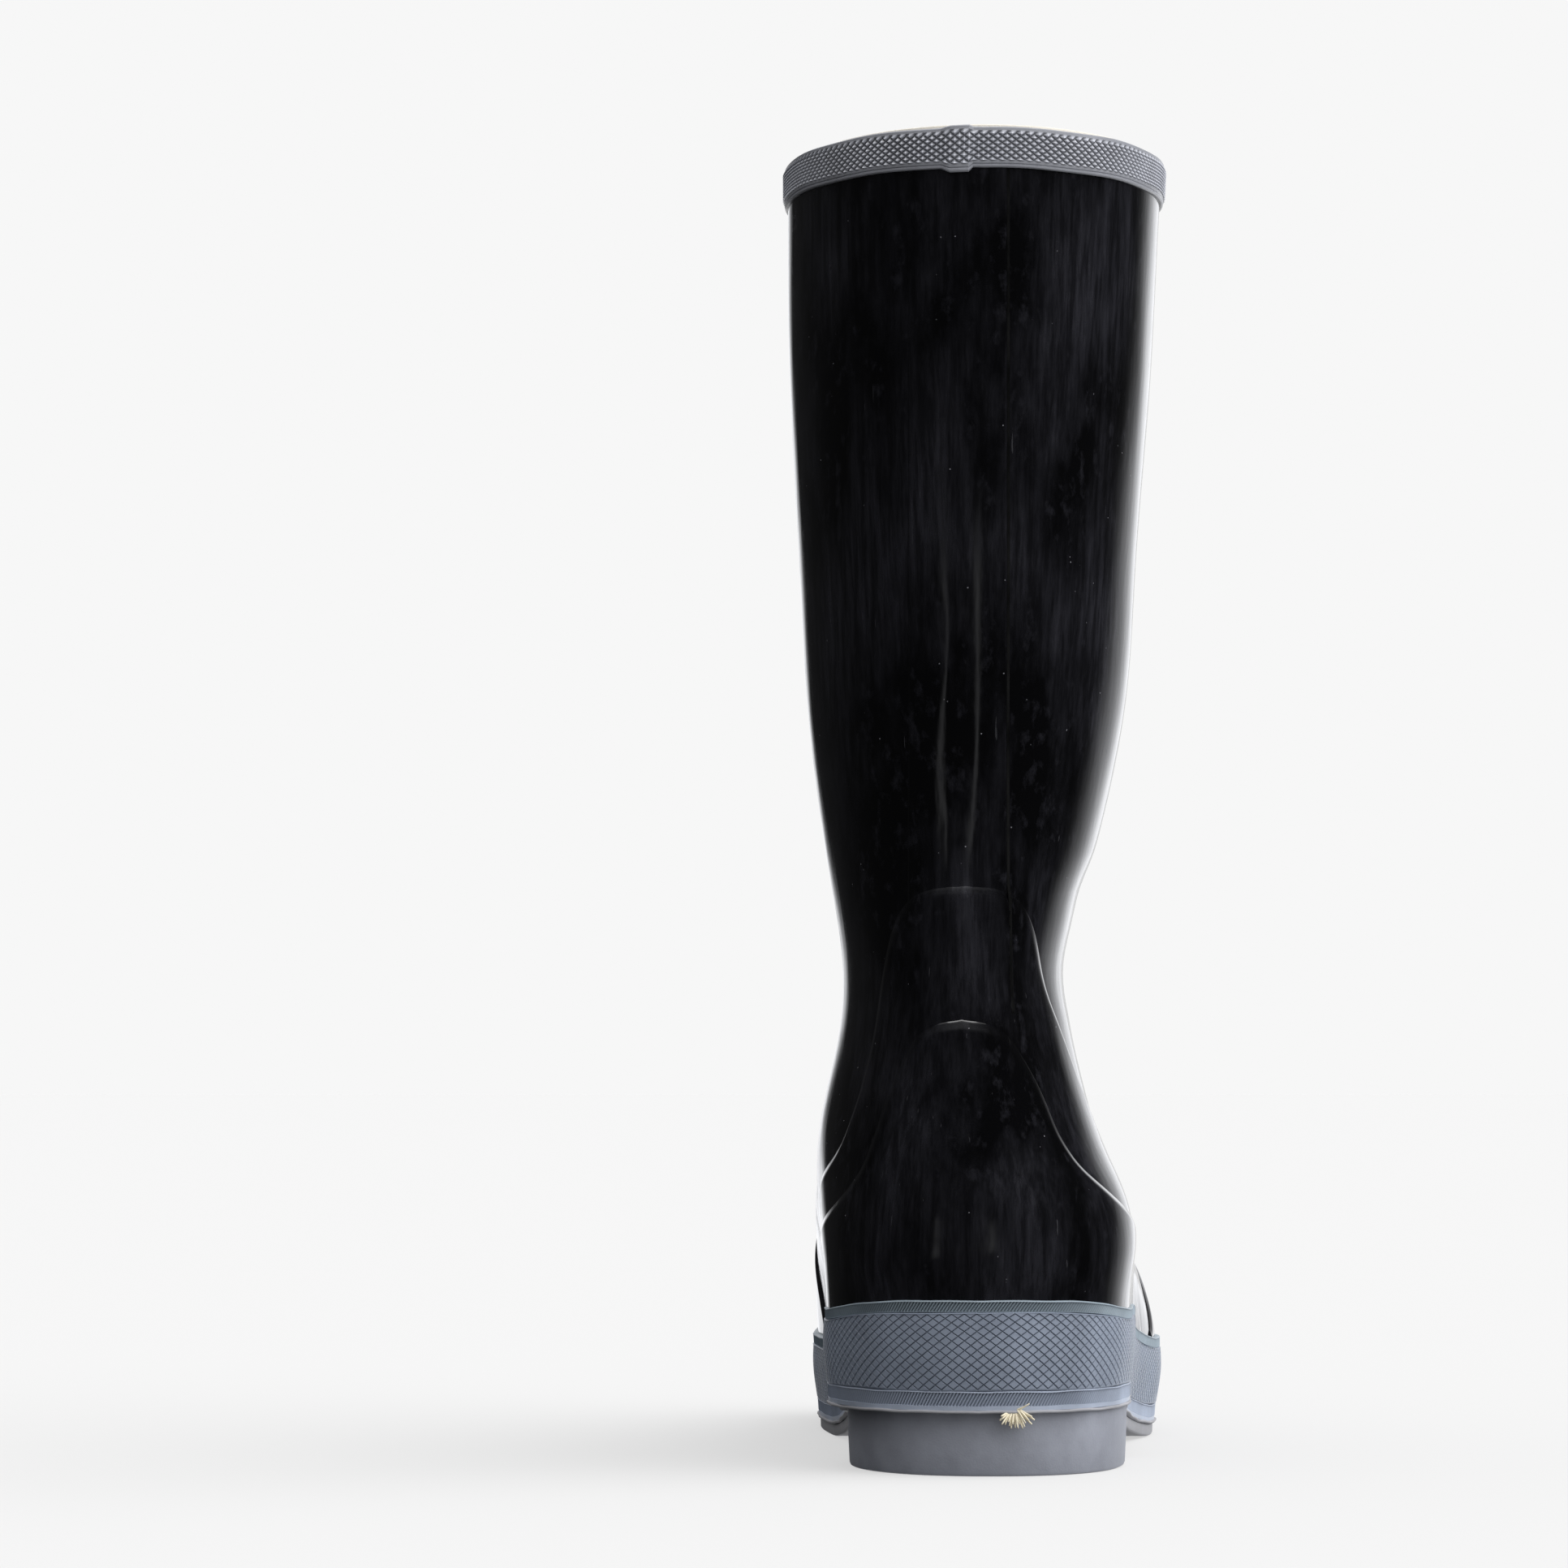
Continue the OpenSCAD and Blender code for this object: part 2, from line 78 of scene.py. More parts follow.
# Half breadths: station, inner side, outer side
LEG_HALF = [
    (218, ANKLE_HALF + 7, ANKLE_HALF - 6), (240, ANKLE_HALF + 6.8, ANKLE_HALF - 7.4),
    (270, ANKLE_HALF + 12, ANKLE_HALF + 2.4), (305, 0.44 * RIM_W, 0.385 * RIM_W),
    (345, RIM_HALF - 3.2, RIM_HALF - 8.5), (400, RIM_HALF - 0.6, RIM_HALF - 4),
    (S_RIM, RIM_HALF, RIM_HALF - 0.6)]
HEEL_LINE = [
    (0, HEEL_HALF + 0.5, HEEL_HALF - 1.6), (FOXING_H, HEEL_HALF + 1.2, HEEL_HALF - 1.2),
    (80, HEEL_HALF + 2, HEEL_HALF + 0.6), (S_VAMP, HEEL_HALF + 2, HEEL_HALF - 1),
    (170, HEEL_HALF + 1.5, HEEL_HALF - 8)] + LEG_HALF
WAIST_LINE = [
    (0, 35, 44), (FOXING_H, 38, 46.5), (80, 45, 45.5), (S_VAMP, 47, 42.5), (170, 46, 33.5)] + LEG_HALF
BALL_LINE = [
    (0, BALL_HALF - 8, BALL_HALF + 5.8), (FOXING_H, BALL_HALF - 6.3, BALL_HALF + 7.6),
    (50, BALL_HALF - 5.3, BALL_HALF + 4.2), (80, BALL_HALF - 4.5, BALL_HALF - 2),
    (S_VAMP, 47, 42), (170, 43, 34)] + LEG_HALF
TOE_LINE = [
    (0, 47, 49), (FOXING_H, 48, 50), (50, 47, 49), (80, 45, 46), (S_VAMP, 43, 43), (170, 38, 33)] + LEG_HALF
# Roundness: station, share of the length taken by the back end, by the front end, exponent
ENDS = [
    (0, 0.19, 0.32, 2.25), (FOXING_H, 0.18, 0.32, 2.3), (50, 0.18, 0.35, 2.35), (80, 0.2, 0.4, 2.3),
    (S_VAMP, 0.24, 0.46, 2.25), (170, 0.34, 0.54, 2.12), (218, 0.44, 0.54, 2.02), (240, 0.48, 0.52, 2),
    (270, 0.5, 0.5, 2), (S_RIM, 0.5, 0.5, 2)]
# Edges of the overlays: number, angle on the inner side, on the outer side, station
ANKLE_EDGE = [
    (0, 0, 0, 261), (1, 15, 15, 260), (2, 27, 28, 256), (3, 36, 40, 247), (4, 42, 50, 233),
    (5, 44, 57, 212), (6, 46, 61, 182), (7, 51, 66, 152), (8, 64, 76, 128), (9, 80, 84, 98),
    (10, 90, 90, 66), (11, 95, 93, FOXING_H + 3)]
HEEL_EDGE = [
    (0, 0, 0, 223), (1, 12, 12, 220.5), (2, 22, 22, 212), (3, 29, 29, 192), (4, 32, 31, 165),
    (5, 35, 34, 138), (6, 43, 43, 112), (7, 58, 58, 88), (8, 73, 72, 60), (9, 80, 79, FOXING_H + 3)]
VAMP_EDGE = [
    (0, 0, 0, 184), (1, 16, 16, 178), (2, 30, 30, 164), (3, 43, 43, 140), (4, 55, 54, 112),
    (5, 66, 65, 80), (6, 75, 73, 52), (7, 80, 78, FOXING_H + 3)]
CAP_EDGE = [
    (0, 0, 0, 88), (1, 14, 14, 84), (2, 28, 28, 74), (3, 40, 39, 60), (4, 49, 48, 45),
    (5, 54, 53, FOXING_H + 3)]
STAY_X = (-20, 6)
# The foxing's upper part, from station DROP_FROM, lies SIDE_DROP lower past the share DROP_FULL of the length
SIDE_DROP, DROP_FROM, DROP_FULL = 3.6, 6, 0.14
BALL_AT = (0.74, 0.64)              # where the ball lies, as a share of the length: inner side, outer side
HEEL_INSET, HEEL_SHIFT = 0.6, 2.3   # the heel block stands in from the foxing, and to the outer side
CAD_COLUMNS = 48                    # columns of points round the CAD model


# ---- The boot's surface: skin(station, angle, offset), the same as in the CAD model ----
def mix(a, b, t):
    """The value that lies the share t of the way from a to b."""
    return a + (b - a) * t


def ease(a, b, x):
    """A smooth step from 0 at x = a to 1 at x = b."""
    t = np.clip((x - a) / (b - a), 0, 1)
    return t * t * (3 - 2 * t)


def curve(table, s, column):
    """A smooth curve through one column of a table, against its first column."""
    table = np.asarray(table, float)
    x, v = table[:, 0], table[:, column]
    last = len(x) - 1
    before = np.maximum(np.arange(last + 1) - 1, 0)
    after = np.minimum(np.arange(last + 1) + 1, last)
    m = (v[after] - v[before]) / (x[after] - x[before])
    i = np.clip(np.searchsorted(x[1:], s, side="right"), 0, last - 1)
    h = x[i + 1] - x[i]
    t = (s - x[i]) / h
    e = np.clip(t, 0, 1)
    return ((2 * e**3 - 3 * e**2 + 1) * v[i] + (e**3 - 2 * e**2 + e) * h * m[i]
            + (3 * e**2 - 2 * e**3) * v[i + 1] + (e**3 - e**2) * h * m[i + 1]
            + (t - e) * h * np.where(t > 1, m[i + 1], m[i]))


def sole_z(y):
    """Height of the foxing's lower edge at length y: raised heel, waist, forefoot and toe spring."""
    spring = np.maximum(y - SPRING_START, 0) / (LAST_LEN - SPRING_START)
    return mix(HEEL_H, FORE_H, ease(WAIST_START, WAIST_END, y)) + TOE_RISE * spring**2


def end_round(q, p):
    """A superellipse's quarter: from 0 at the tip, q = 0, to full breadth at q = 1."""
    return np.maximum(1 - (1 - np.clip(q, 0, 1)) ** p, 0) ** (1 / p)


def breadth(s, side, t):
    """Half breadth at station s, on the inner (0) or outer (1) side, at the share t of the length."""
    ball_at, column = BALL_AT[side], side + 1
    b = mix(curve(HEEL_LINE, s, column), curve(WAIST_LINE, s, column), ease(0.1, 0.42, t))
    b = mix(b, curve(BALL_LINE, s, column), ease(0.4, ball_at, t))
    return mix(b, curve(TOE_LINE, s, column), ease(ball_at, 1, t))


def on_girth(s, a):
    """Points of the smooth surface at stations s and angles a: 0 is the back, 90 the outer side."""
    s, a = np.broadcast_arrays(np.asarray(s, float), np.asarray(a, float))
    t = (1 - np.cos(np.radians(a))) / 2
    inner, outer = breadth(s, 0, t), breadth(s, 1, t)
    y = mix(curve(BACK_LINE, s, 1), curve(FRONT_LINE, s, 1), t)
    p = curve(ENDS, s, 3)
    round_off = end_round(t / curve(ENDS, s, 1), p) * end_round((1 - t) / curve(ENDS, s, 2), p)
    x = (outer - inner) / 2 + np.sign(np.sin(np.radians(a))) * (outer + inner) / 2 * round_off
    follows_sole = 1 - ease(FOXING_H, S_VAMP, s)
    z = mix(curve(BACK_LINE, s, 2), curve(FRONT_LINE, s, 2), t)
    z = z + follows_sole * (sole_z(y) - mix(HEEL_H, TOE_Z, t))
    z = z - SIDE_DROP * ease(DROP_FROM, FOXING_H, s) * follows_sole * ease(0, DROP_FULL, t)
    return np.stack([x, y, z], -1)


def normal(s, a):
    """Unit normals of the smooth surface, pointing out."""
    across = on_girth(s, a + 1) - on_girth(s, a - 1)
    along = on_girth(s + 1, a) - on_girth(np.maximum(s - 1, 0), a)
    n = np.cross(across, along)
    return n / np.linalg.norm(n, axis=-1, keepdims=True)


def skin(s, a, d):
    """Points at stations s, angles a (degrees) and offsets d (mm) along the surface's normal."""
    s, a, d = np.broadcast_arrays(np.asarray(s, float), np.asarray(a, float), np.asarray(d, float))
    return on_girth(s, a) + (d + hand_made(s, a))[..., None] * normal(s, a)


def hand_made(s, a):
    """Small unevenness of a boot laid up by hand: waves, folds along the back seam, a crease at the ankle."""
    r = np.radians(a)
    turn = np.mod(a + 180, 360) - 180
    leg = ease(FOXING_H, S_VAMP, s) * (1 - 0.7 * ease(S_RIM - 60, S_RIM, s))
    waves = (np.sin(s / 17 + 2 * r) + 0.8 * np.sin(s / 29 - 3 * r + 1) + 0.6 * np.sin(s / 11 + r + 2)) * 0.08
    waves = waves + 0.05 * np.sin(9 * r + np.sin(s / 23)) + 0.04 * np.sin(17 * r + 2 * np.sin(s / 31))
    folds = 0
    for middle, width, height, phase in ((-19, 2.6, 0.28, 0), (-7, 2.2, 0.3, 2), (21, 4, 0.16, 4)):
        line = middle + 1.2 * np.sin(s / 14 + phase)
        uneven = 0.75 + 0.25 * np.sin(s / 7.3 + phase)
        folds = folds + height * np.exp(-((turn - line) / width) ** 2) * uneven
    along = ease(238, 280, s) * (1 - 0.8 * ease(330, 400, s))
    from_side = (np.mod(a - 85 + 180, 360) - 180) / 38
    crease = -1.0 * np.exp(-((s - 258) / 7) ** 2 - from_side**2)
    return leg * waves + along * folds + crease


def plan(a, d):
    """Points of the sole's outline seen from above, moved out by d."""
    p = on_girth(0, a)
    q = on_girth(0, a + 1) - on_girth(0, a - 1)
    n = np.stack([q[..., 1], -q[..., 0]], -1)
    n /= np.linalg.norm(n, axis=-1, keepdims=True)
    return p[..., :2] + np.asarray(d, float)[..., None] * n


def row_shift():
    """The way from this surface's origin to the row frame, found from where the CAD foxing lies in it."""
    low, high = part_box("foxing_band")
    a = np.arange(CAD_COLUMNS) * 360 / CAD_COLUMNS
    stations = (FOOT_STRIP_H, FOXING_H / 2, FOXING_H - TOP_STRIP_H)
    rows = np.concatenate([on_girth(s, a) + FOXING_T * normal(s, a) for s in stations])
    centre = (rows.min(0) + rows.max(0)) / 2
    return np.array([(low[i] + high[i]) / 2 * 1000 - centre[i] for i in range(2)] + [0])


SHIFT = row_shift()


# ---- Mesh helpers ----
def mark_height(obj, height):
    """Stores how high each point of a moulded pattern lies, from 0 in the grooves to 1 on the level parts.
    The grey rubber materials use it to paint shade into the grooves.
    """
    layer = obj.data.attributes.new("height", "FLOAT", "POINT")
    layer.data.foreach_set("value", np.asarray(height, np.float32).ravel())


def outward(mesh):
    """Turns the faces so that they all look out."""
    bm = bmesh.new()
    bm.from_mesh(mesh)
    bmesh.ops.recalc_face_normals(bm, faces=bm.faces)
    bm.to_mesh(mesh)
    bm.free()


def piece(name, points, faces, material, slot, nodes, smooth=True, sharp=None):
    """A mesh object from points in millimetres that stands for CAD nodes and rides on the boot."""
    mesh = bpy.data.meshes.new(name)
    co = (np.asarray(points, float).reshape(-1, 3) + SHIFT) / 1000
    mesh.from_pydata(co.tolist(), [], faces)
    mesh.validate()
    outward(mesh)
    mesh.materials.append(material)
    mesh.polygons.foreach_set("use_smooth", [smooth] * len(mesh.polygons))
    if sharp:
        mesh.set_sharp_from_angle(angle=math.radians(sharp))
    obj = bpy.data.objects.new(name, mesh)
    bpy.context.scene.collection.objects.link(obj)
    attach(obj, "root")
    if nodes:
        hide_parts(*nodes)
    return obj


def quads(rows, columns, wrap_rows, wrap_columns, first=0):
    """Faces of a grid of points. Rows and columns may each close on themselves."""
    i = np.arange(rows if wrap_rows else rows - 1)[:, None]
    j = np.arange(columns if wrap_columns else columns - 1)[None, :]

    def at(r, c):
        return first + (r % rows) * columns + c % columns

    faces = np.stack([at(i, j), at(i, j + 1), at(i + 1, j + 1), at(i + 1, j)], -1)
    return faces.reshape(-1, 4).tolist()


def tube_of_rows(grid):
    """A ring whose profile closes on itself: grid is (rows round the profile, columns, 3)."""
    rows, columns = grid.shape[:2]
    return grid.reshape(-1, 3), quads(rows, columns, True, True)


def closed_patch(outer, inner):
    """A patch with a top, a back and four edges, from two grids of the same size."""
    rows, columns = outer.shape[:2]
    half = rows * columns
    faces = quads(rows, columns, False, False)
    faces += [f[::-1] for f in quads(rows, columns, False, False, half)]
    rim = (list(range(columns - 1)) + [i * columns + columns - 1 for i in range(rows - 1)]
           + [(rows - 1) * columns + j for j in range(columns - 1, 0, -1)]
           + [i * columns for i in range(rows - 1, 0, -1)])
    for a, b in zip(rim, rim[1:] + rim[:1]):
        faces.append([b, a, half + a, half + b])
    return np.concatenate([outer.reshape(-1, 3), inner.reshape(-1, 3)]), faces


def lengths_round(s, d, samples=2880):
    """The length round the boot at one station, and a function from a share of it to an angle."""
    a = np.linspace(0, 360, samples + 1)
    p = skin(s, a, d)
    length = np.concatenate([[0], np.cumsum(np.linalg.norm(np.diff(p, axis=0), axis=1))])
    total = length[-1]
    return total, lambda share: np.interp(np.mod(share, 1), length / total, a)


# ---- Materials ----
class Nodes:
    """A short way to write a material's nodes."""

    def __init__(self, name, base, roughness, specular=0.5):
        self.material = bpy.data.materials.new(name)
        self.material.use_nodes = True
        self.tree = self.material.node_tree
        self.shader = self.tree.nodes["Principled BSDF"]
        self.set(self.shader, "Base Color", (*base, 1))
        self.set(self.shader, "Roughness", roughness)
        self.set(self.shader, "Specular IOR Level", specular)
        self.place = self.add("ShaderNodeTexCoord").outputs["Object"]

    def add(self, kind, **values):
        node = self.tree.nodes.new(kind)
        for key, value in values.items():
            setattr(node, key, value)
        return node

    def set(self, node, socket, value):
        if isinstance(value, bpy.types.NodeSocket):
            self.tree.links.new(value, node.inputs[socket])
        else:
            node.inputs[socket].default_value = value

    def stretched(self, x, y, z):
        node = self.add("ShaderNodeMapping")
        self.set(node, "Vector", self.place)
        self.set(node, "Scale", (x, y, z))
        return node.outputs[0]

    def noise(self, vector, scale, detail=4, roughness=0.5):
        node = self.add("ShaderNodeTexNoise")
        self.set(node, "Vector", vector)
        self.set(node, "Scale", scale)
        self.set(node, "Detail", detail)
        self.set(node, "Roughness", roughness)
        return node.outputs["Fac"]

    def dots(self, vector, scale):
        node = self.add("ShaderNodeTexVoronoi")
        self.set(node, "Vector", vector)
        self.set(node, "Scale", scale)
        return node.outputs["Distance"]

    def between(self, value, low, high, to_low=0.0, to_high=1.0):
        node = self.add("ShaderNodeMapRange")
        for socket, number in (("Value", value), ("From Min", low), ("From Max", high),
                               ("To Min", to_low), ("To Max", to_high)):
            self.set(node, socket, number)
        return node.outputs[0]

    def maths(self, operation, a, b):
        node = self.add("ShaderNodeMath", operation=operation)
        self.set(node, 0, a)
        self.set(node, 1, b)
        return node.outputs[0]

    def blend(self, factor, a, b):
        node = self.add("ShaderNodeMix", data_type="RGBA")
        self.set(node, "Factor", factor)
        for socket, colour in ((6, a), (7, b)):
            self.set(node, socket, colour if isinstance(colour, bpy.types.NodeSocket) else (*colour, 1))
        return node.outputs[2]

    def bump(self, height, distance, strength=1.0):
        node = self.add("ShaderNodeBump")
        self.set(node, "Height", height)
        self.set(node, "Distance", distance)
        self.set(node, "Strength", strength)
        if self.shader.inputs["Normal"].is_linked:
            self.set(node, "Normal", self.shader.inputs["Normal"].links[0].from_socket)
        self.set(self.shader, "Normal", node.outputs[0])


def black_rubber():
    """Glossy black rubber with bluish bloom in upright smears, dust and fine scratches."""
    m = Nodes("black_rubber", (0.005, 0.005, 0.006), 0.1)
    cloud = m.between(m.noise(m.stretched(1, 1, 0.45), 30, 6, 0.62), 0.42, 0.66)
    smear = m.between(m.noise(m.stretched(1, 1, 0.07), 420, 6, 0.7), 0.4, 0.66)
    rub = m.between(m.noise(m.stretched(1, 1, 0.6), 210, 5, 0.65), 0.54, 0.7)
    bloom = m.maths("MULTIPLY", cloud, m.maths("ADD", m.maths("MULTIPLY", smear, 0.75), 0.25))
    bloom = m.maths("MAXIMUM", bloom, m.maths("MULTIPLY", rub, 0.45))
    dust = m.between(m.dots(m.place, 330), 0.085, 0.05)
    dust = m.maths("MULTIPLY", dust, m.between(m.noise(m.place, 170, 1), 0.6, 0.64))
    hair = m.between(m.noise(m.stretched(1, 1, 0.03), 900, 2), 0.745, 0.76)
    hair = m.maths("MULTIPLY", hair, m.between(m.noise(m.place, 45, 2), 0.5, 0.6))
    colour = m.blend(bloom, (0.0016, 0.0016, 0.002), (0.024, 0.024, 0.031))
    marks = m.maths("MAXIMUM", dust, m.maths("MULTIPLY", hair, 0.15))
    m.set(m.shader, "Base Color", m.blend(marks, colour, (0.2, 0.2, 0.22)))
    m.set(m.shader, "Roughness", m.between(bloom, 0, 1, 0.06, 0.3))
    m.bump(m.noise(m.stretched(1, 1, 0.3), 120, 3), 0.00025, 0.35)
    return m.material


def tone(colour, factor, lift=0.0):
    """A darker or lighter tone of a colour."""
    return tuple(min(c * factor + lift, 1) for c in colour)


def grey_rubber(name, colour, roughness, grain=0.5, groove_shade=None):
    """Satin grey rubber with a faint bloom and a fine moulded grain. In a pattern, the last argument is the
    tone of the painted shade at the bottom of the grooves."""
    m = Nodes(name, colour, roughness, 0.35)
    patch = m.between(m.noise(m.place, 60, 5, 0.6), 0.35, 0.7)
    bloom = m.blend(patch, tone(colour, 0.86), tone(colour, 1.12, 0.006))
    if groove_shade is not None:
        # Painted shade: where the stored height is low, the colour is darkened towards the groove tone.
        height = m.add("ShaderNodeAttribute", attribute_name="height").outputs["Fac"]
        bloom = m.blend(height, tone(colour, groove_shade), bloom)
    m.set(m.shader, "Base Color", bloom)
    m.set(m.shader, "Roughness", m.between(patch, 0, 1, roughness - 0.06, roughness + 0.1))
    m.bump(m.noise(m.place, 1800, 3), 0.00008, grain)
    return m.material


WAVE_PERIOD = 0.314    # metres from band to band of a wave texture at scale 1


def knit(name, colour, rib_pitch):
    """Brushed cotton knit: ribs, loops across them and a soft nap."""
    m = Nodes(name, colour, 0.92, 0.2)
    m.set(m.shader, "Sheen Weight", 0.35)
    m.set(m.shader, "Sheen Roughness", 0.6)
    fuzz = m.noise(m.place, 900, 5, 0.7)
    m.set(m.shader, "Base Color", m.blend(fuzz, tone(colour, 0.82), tone(colour, 1.1)))
    wave = m.add("ShaderNodeTexWave", wave_type="BANDS", bands_direction="Z")
    m.set(wave, "Vector", m.place)
    m.set(wave, "Scale", WAVE_PERIOD / rib_pitch)
    m.set(wave, "Distortion", 1.2)
    m.set(wave, "Detail Scale", 8.0)
    m.bump(wave.outputs["Fac"], 0.0003, 0.5)
    m.bump(fuzz, 0.0003, 0.6)
    return m.material


def fibrous(name, colour, scale=700):
    """Board, canvas or felt: a matte mat of short fibres."""
    m = Nodes(name, colour, 0.9, 0.2)
    fibre = m.noise(m.stretched(1, 0.4, 1), scale, 6, 0.7)
    m.set(m.shader, "Base Color", m.blend(fibre, tone(colour, 0.7), tone(colour, 1.25)))
    m.bump(fibre, 0.0003, 0.6)
    return m.material


def spring_steel():
    """Steel brushed lengthwise."""
    m = Nodes("spring_steel", (0.55, 0.56, 0.58), 0.3)
    m.set(m.shader, "Metallic", 1.0)
    brushed = m.noise(m.stretched(1, 0.02, 1), 2500, 3)
    m.set(m.shader, "Roughness", m.between(brushed, 0.3, 0.7, 0.25, 0.42))
    return m.material


GREY = (0.25, 0.288, 0.362)
GREY_DARK = (0.32, 0.385, 0.44)
GREY_FOOT = (0.38, 0.43, 0.53)
# The binding's grey: partly its own pale colour, partly a painted highlight on the knurl tips.
GREY_BINDING_HIGHLIGHT = (0.7, 0.72, 0.8)
GREY_OUTSOLE = (0.34, 0.343, 0.37)
GREY_SOLE = (0.29, 0.305, 0.355)
BLACK = black_rubber()
# The last number of each pattern is the tone of the painted shade in its grooves.
FOXING = grey_rubber("grey_foxing", GREY, 0.42, 0.5, 0.55)
STRIP = grey_rubber("grey_strip", GREY_DARK, 0.42, 0.5, 0.4)
FOOT_STRIP = grey_rubber("grey_foot_strip", GREY_FOOT, 0.42, 0.5, 0.5)
BINDING = grey_rubber("grey_binding", GREY_BINDING_HIGHLIGHT, 0.3, 0.5, 0.18)
OUTSOLE = grey_rubber("grey_outsole", GREY_OUTSOLE, 0.6, 0.8)
SOLE = grey_rubber("grey_sole", GREY_SOLE, 0.6, 0.8)
KNIT = knit("lining_knit", (0.78, 0.74, 0.66), 0.0016)
FELT = fibrous("footbed_felt", (0.2, 0.21, 0.225), 1100)
CANVAS = fibrous("canvas", (0.55, 0.5, 0.4))
BOARD = fibrous("fibre_board", (0.42, 0.32, 0.2))
FILLER = fibrous("filler_sheet", (0.2, 0.14, 0.09), 400)
YARN = fibrous("cotton_yarn", (1.0, 0.8, 0.62), 2600)
STEEL = spring_steel()
# Near-black painted shade for the strip along the back stay's outer edge.
STAY_EDGE_SHADE = grey_rubber("painted_stay_edge_shade", (0.0008, 0.0008, 0.001), 0.5)


# ---- Camera: behind the heel, a little to the inner side, low, with a long lens ----
CAMERA_MM = np.array([-56.8, -1500, 110])   # from the heel's centre line, on the floor
CAMERA_TILT = 3.2                           # degrees upwards
SENSOR = 36.0
LENS = 122.7


def make_camera():
    """The camera at the photograph's angle, looking along the boot."""
    data = bpy.data.cameras.new("camera")
    data.sensor_width = SENSOR
    data.lens = LENS
    data.dof.use_dof = False
    data.clip_end = 50
    camera = bpy.data.objects.new("camera", data)
    camera.location = (CAMERA_MM + SHIFT) / 1000
    camera.rotation_euler = (math.radians(90 + CAMERA_TILT), 0, 0)
    bpy.context.scene.collection.objects.link(camera)
    bpy.context.scene.camera = camera


make_camera()


# ---- Upper: leg cover, lining and overlays ----
LINING_EDGE = 1.1         # how far the lining's raw edge stands above the binding
SKIVE = 3.4               # width over which an overlay's edge runs out
STAY_TOP = S_RIM - BINDING_H + 6   # the back stay runs on under the binding


def leg_cover():
    """The black sheet from the sole edge to the rim."""
    s = np.concatenate([np.linspace(0, FOXING_H, 5), np.linspace(FOXING_H + 3, S_RIM - 0.6, 132)])[:, None]
    a = np.linspace(0, 360, 216, endpoint=False)[None, :]
    grid = np.concatenate([skin(s, a, 0), skin(s[::-1], a, -RUBBER_T)])
    piece("leg_cover", *tube_of_rows(grid), BLACK, "black_rubber", ["leg_cover"])


def sock_lining():
    """The knit lining up to its raw edge, and its sole as a piece of its own."""
    a = np.linspace(0, 360, 144, endpoint=False)[None, :]
    foot, leg = np.linspace(BOARD_TOP, FOXING_H, 6), np.linspace(FOXING_H + 5, S_RIM + LINING_EDGE, 80)
    s = np.concatenate([foot, leg])[:, None]
    outer = skin(s, a, CANVAS_IN + 0.1 * ease(S_RIM - 2, S_RIM, s))
    inner = skin(s[::-1], a, LINING_IN)
    edge = skin(S_RIM + LINING_EDGE + 0.4, a, (CANVAS_IN + LINING_IN) / 2)
    walls = tube_of_rows(np.concatenate([outer, edge, inner]))
    piece("sock_lining", *walls, KNIT, "lining_knit", ["sock_lining"])
    low = sole_grid(LINING_IN, BOARD_TOP, 0)
    high = sole_grid(LINING_IN, BOARD_TOP + LINING_T, 0)
    piece("sock_lining_foot", *closed_patch(high, low), KNIT, "lining_knit", [])


def sole_grid(d, lift, cup, rows=72, columns=17):
    """Points across the sole from side to side, inside its outline moved by d, lifted above the sole edge.
    cup is how far the sides rise."""
    a = np.linspace(2, 178, rows)
    left, right = plan(-a, d), plan(a, d)
    w = np.linspace(0, 1, columns)[None, :, None]
    xy = mix(left[:, None, :], right[:, None, :], w)
    rise = cup * np.abs(2 * w[..., 0] - 1) ** 5
    z = sole_z(xy[..., 1]) + lift + rise
    return np.concatenate([xy, z[..., None]], -1)


def edge_curve(edge, u):
    """Angle from the centre and station of an overlay's edge at positions u, from -last to last."""
    last = len(edge) - 1
    k = np.abs(u)
    inner, outer = curve(edge, k, 1), curve(edge, k, 2)
    angle = np.sign(u) * np.where(u < 0, inner, outer)
    foot = np.sign(u) * k / last * np.where(u < 0, edge[last][1], edge[last][2])
    return angle, curve(edge, k, 3), foot


def stay_relief(s, a):
    """How far the strip over the back seam lifts what lies over it."""
    x = on_girth(s, a)[..., 0]
    back = np.cos(np.radians(a)) > 0
    strip = ease(STAY_X[0] - 1.5, STAY_X[0] + 1.5, x) * (1 - ease(STAY_X[1] - 0.3, STAY_X[1] + 0.5, x))
    return 0.45 * strip * ease(196, 216, s) * back


def skived(gap):
    """Thickness of an overlay at a distance from its edge."""
    return OVERLAY_T * ease(-0.25 * SKIVE, SKIVE, gap)


